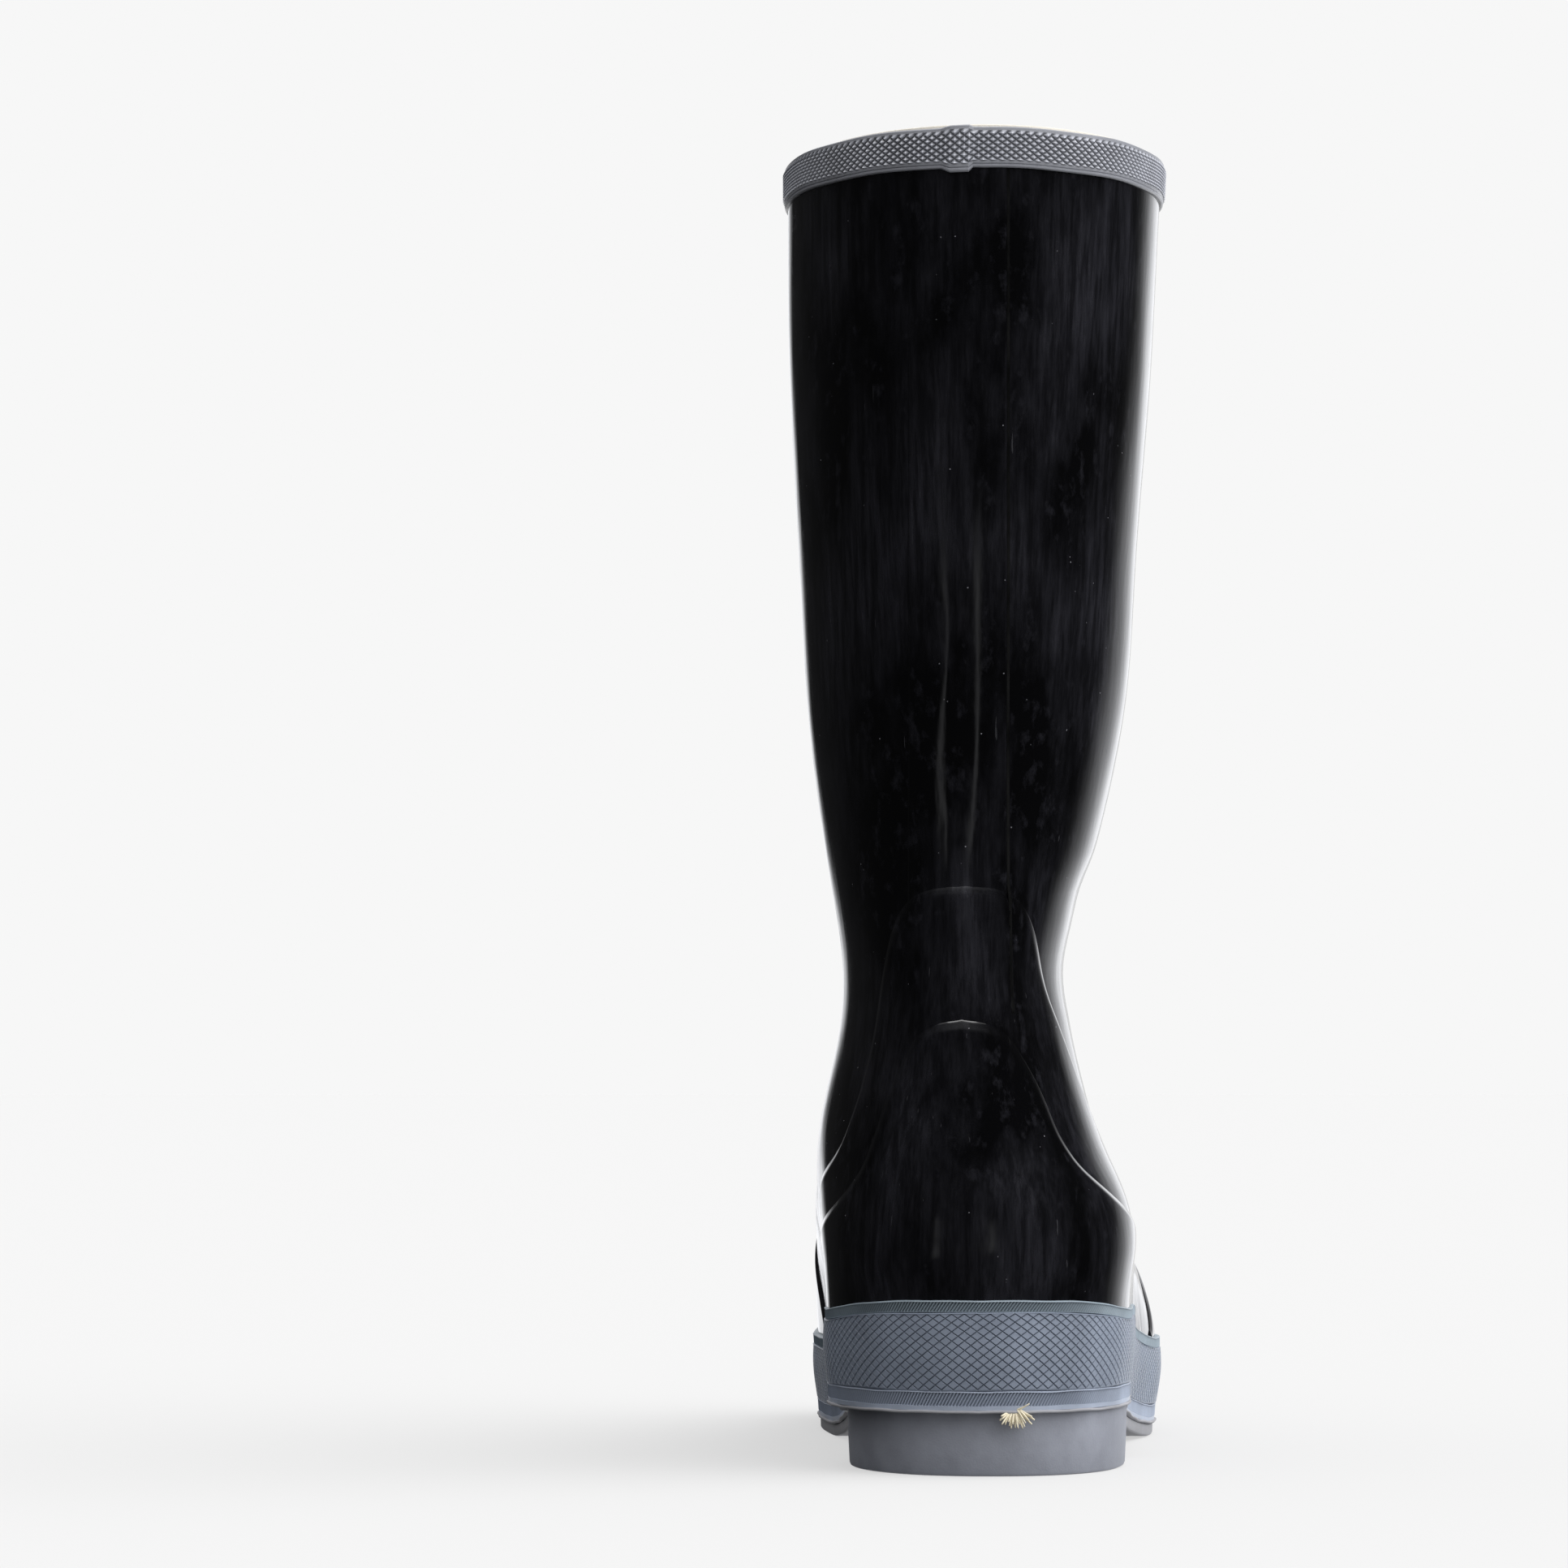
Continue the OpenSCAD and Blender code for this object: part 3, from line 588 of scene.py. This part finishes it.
def overlay(name, edge, centre, base, columns=241, rows=40):
    """An overlay on the surface lifted by base. Its thickness runs out over a skived edge."""
    last = len(edge) - 1
    u = np.linspace(-last, last, columns)
    angle, top, foot = edge_curve(edge, u)
    share = (1 - (1 - np.linspace(0, 1, rows)) ** 2.2)[:, None]
    s = mix(FOXING_H - 1, top[None, :], share)
    a = centre + mix(foot[None, :], angle[None, :], share)
    flat = on_girth(s, a)
    fine = np.linspace(-last, last, 12 * columns)
    fine_angle, fine_top, _ = edge_curve(edge, fine)
    tree = KDTree(len(fine))
    for k, p in enumerate(on_girth(fine_top, centre + fine_angle)):
        tree.insert(p, k)
    tree.balance()
    gap = np.array([tree.find(p)[2] for p in flat.reshape(-1, 3)]).reshape(flat.shape[:2])
    gap[-1] = 0
    relief = stay_relief(s, a)
    outer = skin(s, a, base + relief + skived(gap) - 0.12 * (1 - ease(0, 0.4, gap)))
    inner = skin(s, a, base + relief - 0.3)
    piece(name, *closed_patch(outer, inner), BLACK, "black_rubber", [name], sharp=35)


def back_angle(s, x):
    """Angle of the points that lie at x, across the back, at stations s."""
    centre = (breadth(s, 1, 0) - breadth(s, 0, 0)) / 2
    half = (breadth(s, 1, 0) + breadth(s, 0, 0)) / 2
    return np.degrees(np.arcsin(np.clip((x - centre) / half, -1, 1)))


def back_stay():
    """The strip over the back seam, from under the ankle counter to under the binding."""
    s = np.linspace(240, STAY_TOP, 72)[:, None]
    x = np.concatenate([np.linspace(-1.5, 1.6, 8) + STAY_X[0], np.linspace(STAY_X[0] + 4, STAY_X[1] - 2, 9),
                        np.linspace(-0.4, 0.5, 5) + STAY_X[1]])[None, :]
    a = back_angle(s, x)
    outer = skin(s, a, stay_relief(s, a) + 0.01)
    inner = skin(s, a, -0.15)
    piece("back_stay", *closed_patch(outer, inner), BLACK, "black_rubber", ["back_stay"])


def stay_edge_shade_line():
    """A near-black strip along the back stay's outer edge, down to the heel counter: painted shade standing
    in for the shade in the edge's crevice.
    """
    heel_top, ankle_top = HEEL_EDGE[0][3], ANKLE_EDGE[0][3]
    s = np.linspace(heel_top + 2, STAY_TOP, 122)[:, None]
    a = back_angle(s, STAY_X[1] + np.array([[0.35, 0.6, 0.95, 1.2]]))
    over = skived(ankle_top - s) * (s < ankle_top)
    outer = skin(s, a, stay_relief(s, a) + over + 0.05)
    inner = skin(s, a, over - 0.15)
    piece("stay_edge_shade_line", *closed_patch(outer, inner), STAY_EDGE_SHADE, "black_rubber", [])


leg_cover()
sock_lining()
back_stay()
stay_edge_shade_line()
overlay("ankle_counter", ANKLE_EDGE, 0, 0)
overlay("heel_counter", HEEL_EDGE, 0, OVERLAY_T)
overlay("vamp_overlay", VAMP_EDGE, 180, 0)
overlay("toe_cap", CAP_EDGE, 180, OVERLAY_T)


# ---- Foxing and binding ----
def lattice_ring(name, s_low, s_high, around, rows, flat, depth, place, profile, material, slot,
                 border=1, droop=0):
    """A ring with a field of diamonds: around diamonds in a row, rows (even) of them up the field.
    flat is the share of each diamond that its level top takes, depth that of the grooves. The tops lie
    droop below the middle, and border is the height stored for the plain edges, which sets how far the
    painted groove shade darkens them.
    profile lists (station, offset) from the field's top edge round the back to its bottom edge."""
    points, faces, index = [], [], {}

    def vertex(i, j, level):
        key = (round(i % (2 * around), 4), round(j, 4), level)
        if key not in index:
            index[key] = len(points)
            points.append((i / (2 * around), j / rows, level))
        return index[key]

    for j in range(rows + 1):
        for i in range(j % 2, 2 * around, 2):
            low, high = j > 0, j < rows
            tips = [(i + 1, j, i + flat, j)] + ([(i, j + 1, i, j + flat)] if high else [])
            tips += [(i - 1, j, i - flat, j)] + ([(i, j - 1, i, j - flat)] if low else [])
            foot = [vertex(t[0], t[1], 0) for t in tips]
            head = [vertex(t[2], t[3] - droop, 1) for t in tips]
            faces.append(head)
            sides = range(len(tips)) if low and high else ((0, 1) if high else (1, 2))
            for k in sides:
                n = (k + 1) % len(tips)
                faces.append([foot[k], foot[n], head[n], head[k]])
    field = np.array(points, float)
    co = place(field[:, 0], mix(s_low, s_high, field[:, 1]), field[:, 2] * depth)

    def edge(j):
        """Points along the field's row j: two on a diamond's level top, then one in the groove, and so on."""
        ids = []
        for i in range(2 * around):
            if (i + j) % 2:
                ids.append(vertex(i, j, 0))
            else:
                ids += [vertex(i - flat, j - droop, 1), vertex(i + flat, j - droop, 1)]
        return ids

    top, bottom = edge(rows), edge(0)
    shares = np.array([points[v][0] for v in top])
    back = np.concatenate([place(shares, np.full(len(shares), s), d, True) for s, d in profile])
    base, n = len(co), len(shares)
    rings = [top] + [[base + r * n + c for c in range(n)] for r in range(len(profile))] + [bottom]
    for lower, upper in zip(rings, rings[1:]):
        for c in range(n):
            faces.append([lower[c], lower[(c + 1) % n], upper[(c + 1) % n], upper[c]])
    obj = piece(name, np.concatenate([co, back]), faces, material, slot, [name], smooth=False)
    # The grooves get low heights, so the material paints shade into them.
    mark_height(obj, np.concatenate([field[:, 2], np.full(len(back), border)]))


DIAMOND_PITCH, KNURL_PITCH = 3.5, 2.7     # from diamond to diamond round the foxing and the binding
RIB_PITCH, RIB_DEPTH, RIB_TOP = 0.95, -0.5, 0.1
RIB_LEAN = 0.58                           # how far a rib leans to the side for each millimetre up


def foxing_band():
    """The wide band with a lattice of flat diamonds."""
    low, high = FOOT_STRIP_H, FOXING_H - TOP_STRIP_H
    total, angle = lengths_round(FOXING_H / 2, FOXING_T)
    margin = 0.5

    def place(share, s, lift, exact=False):
        v = np.clip((s - low) / (high - low), 0, 1)
        bulge = FOXING_T - 0.7 + 0.9 * np.sin(math.pi * (0.1 + 0.8 * v))
        wave = 0.12 * np.sin(share * 160) * np.sin(share * 47 + 1)
        d = lift if exact else bulge - 0.3 + lift + wave
        return skin(s + 0.15 * np.sin(share * 95), angle(share), d)

    profile = [(high - 0.34, 2.85), (high - 0.05, 2.3), (high, 0.0),
               (low, 0.0), (low, 2.0), (low + 0.12, 2.45)]
    lattice_ring("foxing_band", low + margin, high - margin, round(total / DIAMOND_PITCH), rows=16, flat=0.78,
                 depth=0.4, place=place, profile=profile, material=FOXING, slot="grey_foxing")


def ribbed_ring(name, s_low, s_high, below, above, material):
    """A strip with slanting ribs and plain borders, so wide, below and above them."""
    rib_low, rib_high = s_low + below, s_high - above
    total, angle = lengths_round((s_low + s_high) / 2, STRIP_T)
    half_ribs = 2 * round(total / RIB_PITCH)
    share = np.arange(half_ribs) / half_ribs
    ridge = np.where(np.arange(half_ribs) % 2, RIB_TOP, RIB_DEPTH)
    lean = RIB_LEAN / total
    top = STRIP_T
    rows = [(s_low, 0, 0), (s_low, top - 0.25, 0), (s_low + 0.15, top + 0.02, 0), (rib_low, top + 0.05, 0),
            (rib_low + 0.15, top, 1), (rib_high - 0.15, top, 1), (rib_high, top + 0.1, 0),
            (s_high - 0.3, top + 0.22, 0), (s_high - 0.08, top + 0.1, 0), (s_high + 0.1, top - 0.5, 0),
            (s_high + 0.12, 0, 0)]
    wave = 0.12 * np.sin(share * 210) * np.sin(share * 61)
    grid = np.stack([skin(s + wave * (s > s_low + 1), angle(share + lean * (s - s_low)), d + ribs * ridge)
                     for s, d, ribs in rows])
    obj = piece(name, *tube_of_rows(grid), material, "grey_strip", [name], smooth=False)
    # The rib troughs get height 0, so the material paints shade into them.
    mark_height(obj, [np.where(ridge * ribs < 0, 0, 1) for _, _, ribs in rows])


LAP_X = (-11.0, -3.9)    # where the binding's end laps over its start, from the heel's centre line


def top_binding():
    """The knurled binding, folded over the rim. Its end laps over its start at the back."""
    low = S_RIM - BINDING_H
    total, angle = lengths_round(S_RIM - BINDING_H / 2, BINDING_T)
    field = (low + 2.3, S_RIM - 1.4)

    def place(share, s, lift, exact=False):
        a = angle(share)
        x = on_girth(s, a)[..., 0]
        behind = np.cos(np.radians(a)) > 0
        lap = ease(LAP_X[0] - 1.5, LAP_X[0] + 1.5, x) * (1 - ease(LAP_X[1] - 0.5, LAP_X[1] + 0.5, x)) * behind
        v = (s - low) / BINDING_H
        base = lift if exact else BINDING_T - 0.35 + lift
        outside = base > 0.3
        sag = lap * (0.6 * v - 1.2 * (1 - v))
        return skin(s + sag + 0.12 * np.sin(share * 70), a, base + 0.6 * lap * outside)

    profile = [(S_RIM - 0.7, BINDING_T + 0.02), (S_RIM, BINDING_T - 0.15), (S_RIM + 0.35, BINDING_T - 0.75),
               (S_RIM + 0.4, -0.8), (S_RIM + 0.2, CANVAS_IN + 0.1), (S_RIM - 0.5, CANVAS_IN + 0.1),
               (S_RIM - 0.5, -0.1), (low, -0.1), (low, 0.55), (low + 0.3, 0.95), (low + 0.75, 1.0),
               (low + 1.0, 0.72), (low + 1.25, 1.0), (low + 2.0, 1.02)]
    lattice_ring("top_binding", *field, round(total / KNURL_PITCH), rows=8, flat=0.08, depth=0.9, place=place,
                 profile=profile, material=BINDING, slot="grey_strip", border=0.3, droop=0.25)


foxing_band()
ribbed_ring("foxing_top_strip", FOXING_H - TOP_STRIP_H, FOXING_H, 0.2, 0.4, STRIP)
ribbed_ring("foxing_foot_strip", 0.0, FOOT_STRIP_H, 1.3, 0.3, FOOT_STRIP)
top_binding()


# ---- Sole ----
GROOVE_W, GROOVE_PITCH = 3, 8
HEEL_BORDER, TREAD_BORDER = 7, 6      # plain rubber beside the grooves
HEEL_GROOVES = range(10, HEEL_LEN - 8, GROOVE_PITCH)                      # lengths at which grooves begin
TREAD_GROOVES = np.arange(WAIST_END - 15, LAST_LEN - 11, GROOVE_PITCH)
BREAST_AT = 0.262         # share of the length at which the outsole begins, at the heel's breast
HALF_TURN = np.linspace(0, 180, 721)


def sole_ply(columns=480):
    """The thin sole sheet, whose edge stands out a little unevenly under the foxing."""
    _, angle = lengths_round(0.5, STRIP_T)
    share = np.arange(columns) / columns
    a = angle(share)
    wave = 0.22 * np.sin(share * 130) * np.sin(share * 37 + 2) + 0.12 * np.sin(share * 311)
    rows = []
    for d, lift in ((-6, -0.02), (STRIP_T, -0.02), (STRIP_T + 0.45, -0.25), (STRIP_T + 0.5, -0.6),
                    (STRIP_T + 0.3, -SOLE_PLY_T), (-6, -SOLE_PLY_T)):
        xy = plan(a, d + wave * (d > 0))
        rows.append(np.concatenate([xy, (sole_z(xy[:, 1]) + lift + 0.5 * wave * (d > 0))[:, None]], -1))
    piece("sole_ply_edge", *tube_of_rows(np.stack(rows)[::-1]), OUTSOLE, "grey_sole", [])
    low, high = sole_grid(-5, -SOLE_PLY_T + 0.01, 0), sole_grid(-5, -0.03, 0)
    piece("sole_ply", *closed_patch(high, low), SOLE, "grey_sole", ["sole_ply"])


def cut(obj, cutter):
    """Takes cutter out of obj."""
    modifier = obj.modifiers.new("cut", "BOOLEAN")
    modifier.operation = "DIFFERENCE"
    modifier.solver = "EXACT"
    modifier.object = cutter
    bpy.context.view_layer.update()
    made = bpy.data.meshes.new_from_object(obj.evaluated_get(bpy.context.evaluated_depsgraph_get()))
    obj.modifiers.clear()
    obj.data = made
    bpy.data.objects.remove(cutter)


def bars(name, boxes):
    """Bars for cutting grooves, one closed box each, from low and high corners in millimetres."""
    bm = bmesh.new()
    for low, high in boxes:
        low, high = ((np.array(v, float) + SHIFT) / 1000 for v in (low, high))
        made = bmesh.ops.create_cube(bm, size=1)["verts"]
        for v in made:
            v.co = [low[k] if v.co[k] < 0 else high[k] for k in range(3)]
    mesh = bpy.data.meshes.new(name)
    bm.to_mesh(mesh)
    bm.free()
    obj = bpy.data.objects.new(name, mesh)
    bpy.context.scene.collection.objects.link(obj)
    return obj


def sole_sides(y, d):
    """Where the sole's outline, moved out by d, lies on the inner and the outer side at length y."""
    sides = []
    for turn in (-1, 1):
        xy = plan(turn * HALF_TURN, d)
        sides.append(float(np.interp(y, xy[:, 1], xy[:, 0])))
    return sides


def groove_boxes(lengths, inset, shift, base):
    """Low and high corners of the bars that cut tread grooves, from side to side of the sole. base says how
    high the tread lies at a length."""
    boxes = []
    for y in lengths:
        left = max(sole_sides(v, -inset)[0] for v in (y, y + GROOVE_W)) + shift
        right = min(sole_sides(v, -inset)[1] for v in (y, y + GROOVE_W)) + shift
        tread_z = base(y + GROOVE_W / 2)
        if right - left > 2 * GROOVE_W:
            boxes.append(((left, y, tread_z - 3), (right, y + GROOVE_W, tread_z + TREAD_D)))
    return boxes


def heel_block():
    """The heel block, tapered a little, with a rounded bottom edge and a straight breast."""
    rows = []
    for d, z in ((-1.7, 0), (-1.05, 0.3), (-0.75, 0.95), (-0.4, 8), (-0.1, HEEL_H - SOLE_PLY_T - 0.1)):
        ends = []
        for turn in (-1, 1):
            lengths = plan(turn * HALF_TURN, d - HEEL_INSET)[:, 1]
            ends.append(turn * float(np.interp(HEEL_LEN, lengths, HALF_TURN)))
        xy = plan(np.linspace(*ends, 240), d - HEEL_INSET) + [HEEL_SHIFT, 0]
        rows.append(np.concatenate([xy, np.full((len(xy), 1), float(z))], -1))
    n = len(rows[0])
    faces = quads(len(rows), n, False, True)
    faces += [list(range(n))[::-1], [(len(rows) - 1) * n + k for k in range(n)]]
    return piece("heel_block", np.stack(rows), faces, SOLE, "grey_sole", ["heel_block"], sharp=40)


def outsole():
    """The forefoot and waist sole, from the heel breast to the toe, with rounded edges. Its rows are open
    outlines that run round the toe, and faces from side to side close it below and above."""
    a = np.degrees(np.arccos(1 - 2 * np.linspace(BREAST_AT, 1, 110)))
    a = np.concatenate([a, 360 - a[-2::-1]])
    rows = []
    for d, lift in ((STRIP_T - 0.9, 0.0), (STRIP_T - 0.5, -0.4), (STRIP_T - 0.6, -OUTSOLE_T + 0.7),
                    (STRIP_T - 0.9, -OUTSOLE_T + 0.2), (STRIP_T - 1.5, -OUTSOLE_T)):
        xy = plan(a, d)
        rows.append(np.concatenate([xy, (sole_z(xy[:, 1]) - SOLE_PLY_T + lift)[:, None]], -1))
    rows.reverse()
    n, last = len(a), (len(rows) - 1) * len(a)
    faces = [f[::-1] for f in quads(len(rows), n, False, False)]
    for left in range(n // 2):
        right = n - 1 - left
        across = [left, left + 1, right - 1, right]
        if left + 1 == right - 1:
            across = across[:2] + across[3:]
        faces += [across, [v + last for v in across[::-1]]]
    faces.append([r * n for r in range(len(rows))] + [r * n + n - 1 for r in reversed(range(len(rows)))])
    return piece("outsole", np.stack(rows), faces, OUTSOLE, "grey_sole", ["outsole"], sharp=40)


sole_ply()
heel = heel_block()
cut(heel, bars("heel_grooves", groove_boxes(HEEL_GROOVES, HEEL_INSET + HEEL_BORDER, HEEL_SHIFT, lambda y: 0)))
tread = outsole()
tread_grooves = groove_boxes(TREAD_GROOVES, TREAD_BORDER, 0, lambda y: float(sole_z(y)) - FORE_H)
cut(tread, bars("tread_grooves", tread_grooves))


# ---- Footbed ----
def footbed():
    """The loose cushioned insole, cupped a little at the sides."""
    d = LINING_IN - 0.7
    low = sole_grid(d, BOARD_TOP + LINING_T + 0.05, 0)
    high = sole_grid(d - 0.4, BOARD_TOP + LINING_T + FOOTBED_T, 3)
    obj = piece("footbed", *closed_patch(high, low), FELT, "footbed_felt", ["footbed"])
    bevel = obj.modifiers.new("soft_edge", "BEVEL")
    bevel.width = 0.0012
    bevel.segments = 3
    bevel.limit_method = "ANGLE"


footbed()


# ---- Frayed yarn end ----
STRANDS = 22              # in the fan, and one more stands out to the side
STRAND_SIDES = 6


def strand(bm, start, direction, length, width, bend):
    """A tapered tube that bends downwards."""
    side = np.cross(direction, (0, 0, 1.0))
    side /= np.linalg.norm(side)
    rings = []
    for t in np.linspace(0, 1, 6):
        centre = start + direction * length * t + np.array([0, 0, -bend]) * t**2
        radius = width / 2 * (1 - 0.45 * t)
        up = np.cross(side, direction)
        ring = []
        for k in range(STRAND_SIDES):
            turn = 2 * math.pi * k / STRAND_SIDES
            p = centre + radius * (math.cos(turn) * side + math.sin(turn) * up)
            ring.append(bm.verts.new((p + SHIFT) / 1000))
        rings.append(ring)
    for low, high in zip(rings, rings[1:]):
        for k in range(STRAND_SIDES):
            after = (k + 1) % STRAND_SIDES
            bm.faces.new([low[k], low[after], high[after], high[k]])
    bm.faces.new(rings[0][::-1])
    bm.faces.new(rings[-1])


def yarn_tuft():
    """The frayed end of yarn that fans out between the sole ply and the heel block."""
    rng = np.random.default_rng(7)
    bm = bmesh.new()
    root = np.array([7.7, 1.0, HEEL_H - SOLE_PLY_T + 0.9])
    for k in range(STRANDS):
        fan = mix(-66, 70, (k + rng.uniform(0.1, 0.9)) / STRANDS)
        out = math.radians(rng.uniform(18, 50))
        turn = math.radians(fan)
        flat = math.cos(out)
        direction = np.array([math.sin(turn) * flat, -math.sin(out), -math.cos(turn) * flat])
        start = root + np.array([math.sin(turn) * 1.2, rng.uniform(-0.3, 0.3), rng.uniform(-0.2, 0.2)])
        strand(bm, start, direction, rng.uniform(4.3, 5.9), rng.uniform(0.6, 1.0), rng.uniform(-0.2, 0.8))
    strand(bm, root, np.array([0.86, -0.45, 0.25]), 4.6, 0.7, -0.8)
    mesh = bpy.data.meshes.new("yarn_tuft")
    bm.to_mesh(mesh)
    bm.free()
    mesh.materials.append(YARN)
    mesh.polygons.foreach_set("use_smooth", [True] * len(mesh.polygons))
    obj = bpy.data.objects.new("yarn_tuft", mesh)
    bpy.context.scene.collection.objects.link(obj)
    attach(obj, "root")
    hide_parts("yarn_tuft")


yarn_tuft()


# ---- CAD pieces that stay ----
for node, material in (("canvas_ply", CANVAS), ("heel_stiffener", BOARD), ("toe_puff", BOARD),
                       ("insole_board", BOARD), ("sole_filler", FILLER), ("shank", STEEL)):
    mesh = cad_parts[node].data
    mesh.materials.clear()
    mesh.materials.append(material)


# ---- Studio ----
WHITE = 0.93                        # what the camera and polished surfaces see of the studio
DOME_LOW, DOME_HIGH = 0.22, 1.24    # the soft light that fills it, from below and from above
DOME_SIDE = 0.42                    # how much brighter it is on the outer side
SUN, SUN_ANGLE = 2.1, 75            # a very soft light from the outer side
SUN_FROM = (0.683, -0.183, 0.707)
SOFTBOX_POWER = 32
FLOOR, FLOOR_GLOW = 0.27, 0.53      # the floor is a lit sweep, so its shadows stay light
FLOOR_HALF = 60                     # metres
FLAG_RADIUS, FLAG_GLOW = 2.6, 0.025     # metres, and the flag's own dim light
FLAG_STRIPS = ((-27, 0.5), (4, 0.6))    # where dim strips stand on it, in degrees, and how bright they are
FLAG_STRIP_WIDTH = 1.7                  # degrees


def stage_object(name, points, faces):
    """A mesh that belongs to the studio and not to the boot."""
    mesh = bpy.data.meshes.new(name)
    mesh.from_pydata(points, [], faces)
    obj = bpy.data.objects.new(name, mesh)
    bpy.context.scene.collection.objects.link(obj)
    return obj


def floor():
    """The pale floor, which reflections and diffuse rays don't see."""
    corners = [(x * FLOOR_HALF, y * FLOOR_HALF, 0) for x, y in ((-1, -1), (1, -1), (1, 1), (-1, 1))]
    obj = stage_object("floor", corners, [(0, 1, 2, 3)])
    m = Nodes("pale_floor", (FLOOR, FLOOR, FLOOR), 0.8, 0.0)
    m.set(m.shader, "Roughness", m.between(m.noise(m.place, 3, 2), 0, 1, 0.75, 0.85))
    m.set(m.shader, "Emission Color", (1, 1, 1, 1))
    m.set(m.shader, "Emission Strength", FLOOR_GLOW)
    obj.data.materials.append(m.material)
    obj.visible_glossy = False
    obj.visible_diffuse = False


def dark_flag():
    """A curved dark flag that only reflections see. It stands round the boot from the toe by the inner side,
    the heel and the outer side, nearly to the toe again, and turn is 0 behind the heel. It is bright
    towards both ends and lightens high up. The lower leg reflects the dim upright strips on it."""
    turns = np.arange(-177, 167, 1.0)
    heights = np.array([-9, -0.3, -0.15, -0.05, 0.05, 0.12, 0.2, 0.3, 0.45, 0.65,
                        0.8, 1.0, 1.25, 1.5, 1.8, 2.3, 2.8, 4.0])
    z, turn = np.meshgrid(heights, turns, indexing="ij")
    starts = mix(102, 122, ease(0, 0.7, z))
    outer_side = 1.7 * ease(starts, 160, turn) ** 2 * (1 - 0.8 * ease(0.8, 1.25, z))
    above = 0.4 * ease(1.5, 2.8, z) * np.exp(-(turn / 50) ** 2)
    glow = FLAG_GLOW + outer_side + 1.3 * ease(-158, -174, turn) + above
    strip_height = ease(-0.15, 0, z) * (1 - ease(0.12, 0.3, z))
    for middle, level in FLAG_STRIPS:
        glow = glow + level * np.exp(-((turn - middle) / FLAG_STRIP_WIDTH) ** 2) * strip_height
    r = np.radians(turn)
    points = np.stack([FLAG_RADIUS * np.sin(r), -FLAG_RADIUS * np.cos(r), z], -1).reshape(-1, 3)
    obj = stage_object("dark_flag", points.tolist(), quads(len(heights), len(turns), False, False))
    colours = obj.data.color_attributes.new("glow", "FLOAT_COLOR", "POINT")
    colours.data.foreach_set("color", [c for g in glow.ravel() for c in (g * 0.96, g * 0.97, g, 1)])
    material = bpy.data.materials.new("dark_flag")
    material.use_nodes = True
    tree = material.node_tree
    tree.nodes.clear()
    out = tree.nodes.new("ShaderNodeOutputMaterial")
    light = tree.nodes.new("ShaderNodeEmission")
    level = tree.nodes.new("ShaderNodeAttribute")
    level.attribute_name = "glow"
    tree.links.new(level.outputs["Color"], light.inputs["Color"])
    tree.links.new(light.outputs[0], out.inputs["Surface"])
    obj.data.materials.append(material)
    obj.visible_camera = False
    obj.visible_diffuse = False
    obj.visible_shadow = False


def lights():
    """The studio's world, which looks plain white but lights as a dome, a soft sun and a softbox overhead."""
    world = bpy.data.worlds.new("studio")
    bpy.context.scene.world = world
    world.use_nodes = True
    tree = world.node_tree
    background = tree.nodes["Background"]
    background.inputs["Color"].default_value = (1, 1, 1, 1)
    path = tree.nodes.new("ShaderNodeLightPath")
    seen = tree.nodes.new("ShaderNodeMath")
    seen.operation = "MAXIMUM"
    tree.links.new(path.outputs["Is Camera Ray"], seen.inputs[0])
    tree.links.new(path.outputs["Is Glossy Ray"], seen.inputs[1])
    axes = tree.nodes.new("ShaderNodeSeparateXYZ")
    tree.links.new(tree.nodes.new("ShaderNodeTexCoord").outputs["Generated"], axes.inputs[0])
    rise = tree.nodes.new("ShaderNodeMapRange")
    for socket, value in (("From Min", -0.4), ("To Min", DOME_LOW), ("To Max", DOME_HIGH)):
        rise.inputs[socket].default_value = value
    tree.links.new(axes.outputs["Z"], rise.inputs["Value"])
    side = tree.nodes.new("ShaderNodeMath")
    side.operation = "MULTIPLY_ADD"
    side.inputs[1].default_value = DOME_SIDE
    tree.links.new(axes.outputs["X"], side.inputs[0])
    tree.links.new(rise.outputs[0], side.inputs[2])
    level = tree.nodes.new("ShaderNodeMix")
    level.inputs["B"].default_value = WHITE
    tree.links.new(seen.outputs[0], level.inputs["Factor"])
    tree.links.new(side.outputs[0], level.inputs["A"])
    tree.links.new(level.outputs[0], background.inputs["Strength"])
    data = bpy.data.lights.new("side_light", "SUN")
    data.energy = SUN
    data.angle = math.radians(SUN_ANGLE)
    lamp = bpy.data.objects.new("side_light", data)
    lamp.rotation_euler = Vector(SUN_FROM).to_track_quat("Z", "Y").to_euler()
    lamp.visible_glossy = False
    bpy.context.scene.collection.objects.link(lamp)
    data = bpy.data.lights.new("overhead_softbox", "AREA")
    data.shape = "RECTANGLE"
    data.size, data.size_y = 2.0, 1.2
    data.energy = SOFTBOX_POWER
    lamp = bpy.data.objects.new("overhead_softbox", data)
    lamp.visible_diffuse = False
    lamp.location = (0, -0.7, 2.6)
    lamp.rotation_euler = (math.radians(-14), 0, 0)
    bpy.context.scene.collection.objects.link(lamp)


floor()
dark_flag()
lights()
bpy.context.scene.view_settings.view_transform = "Standard"
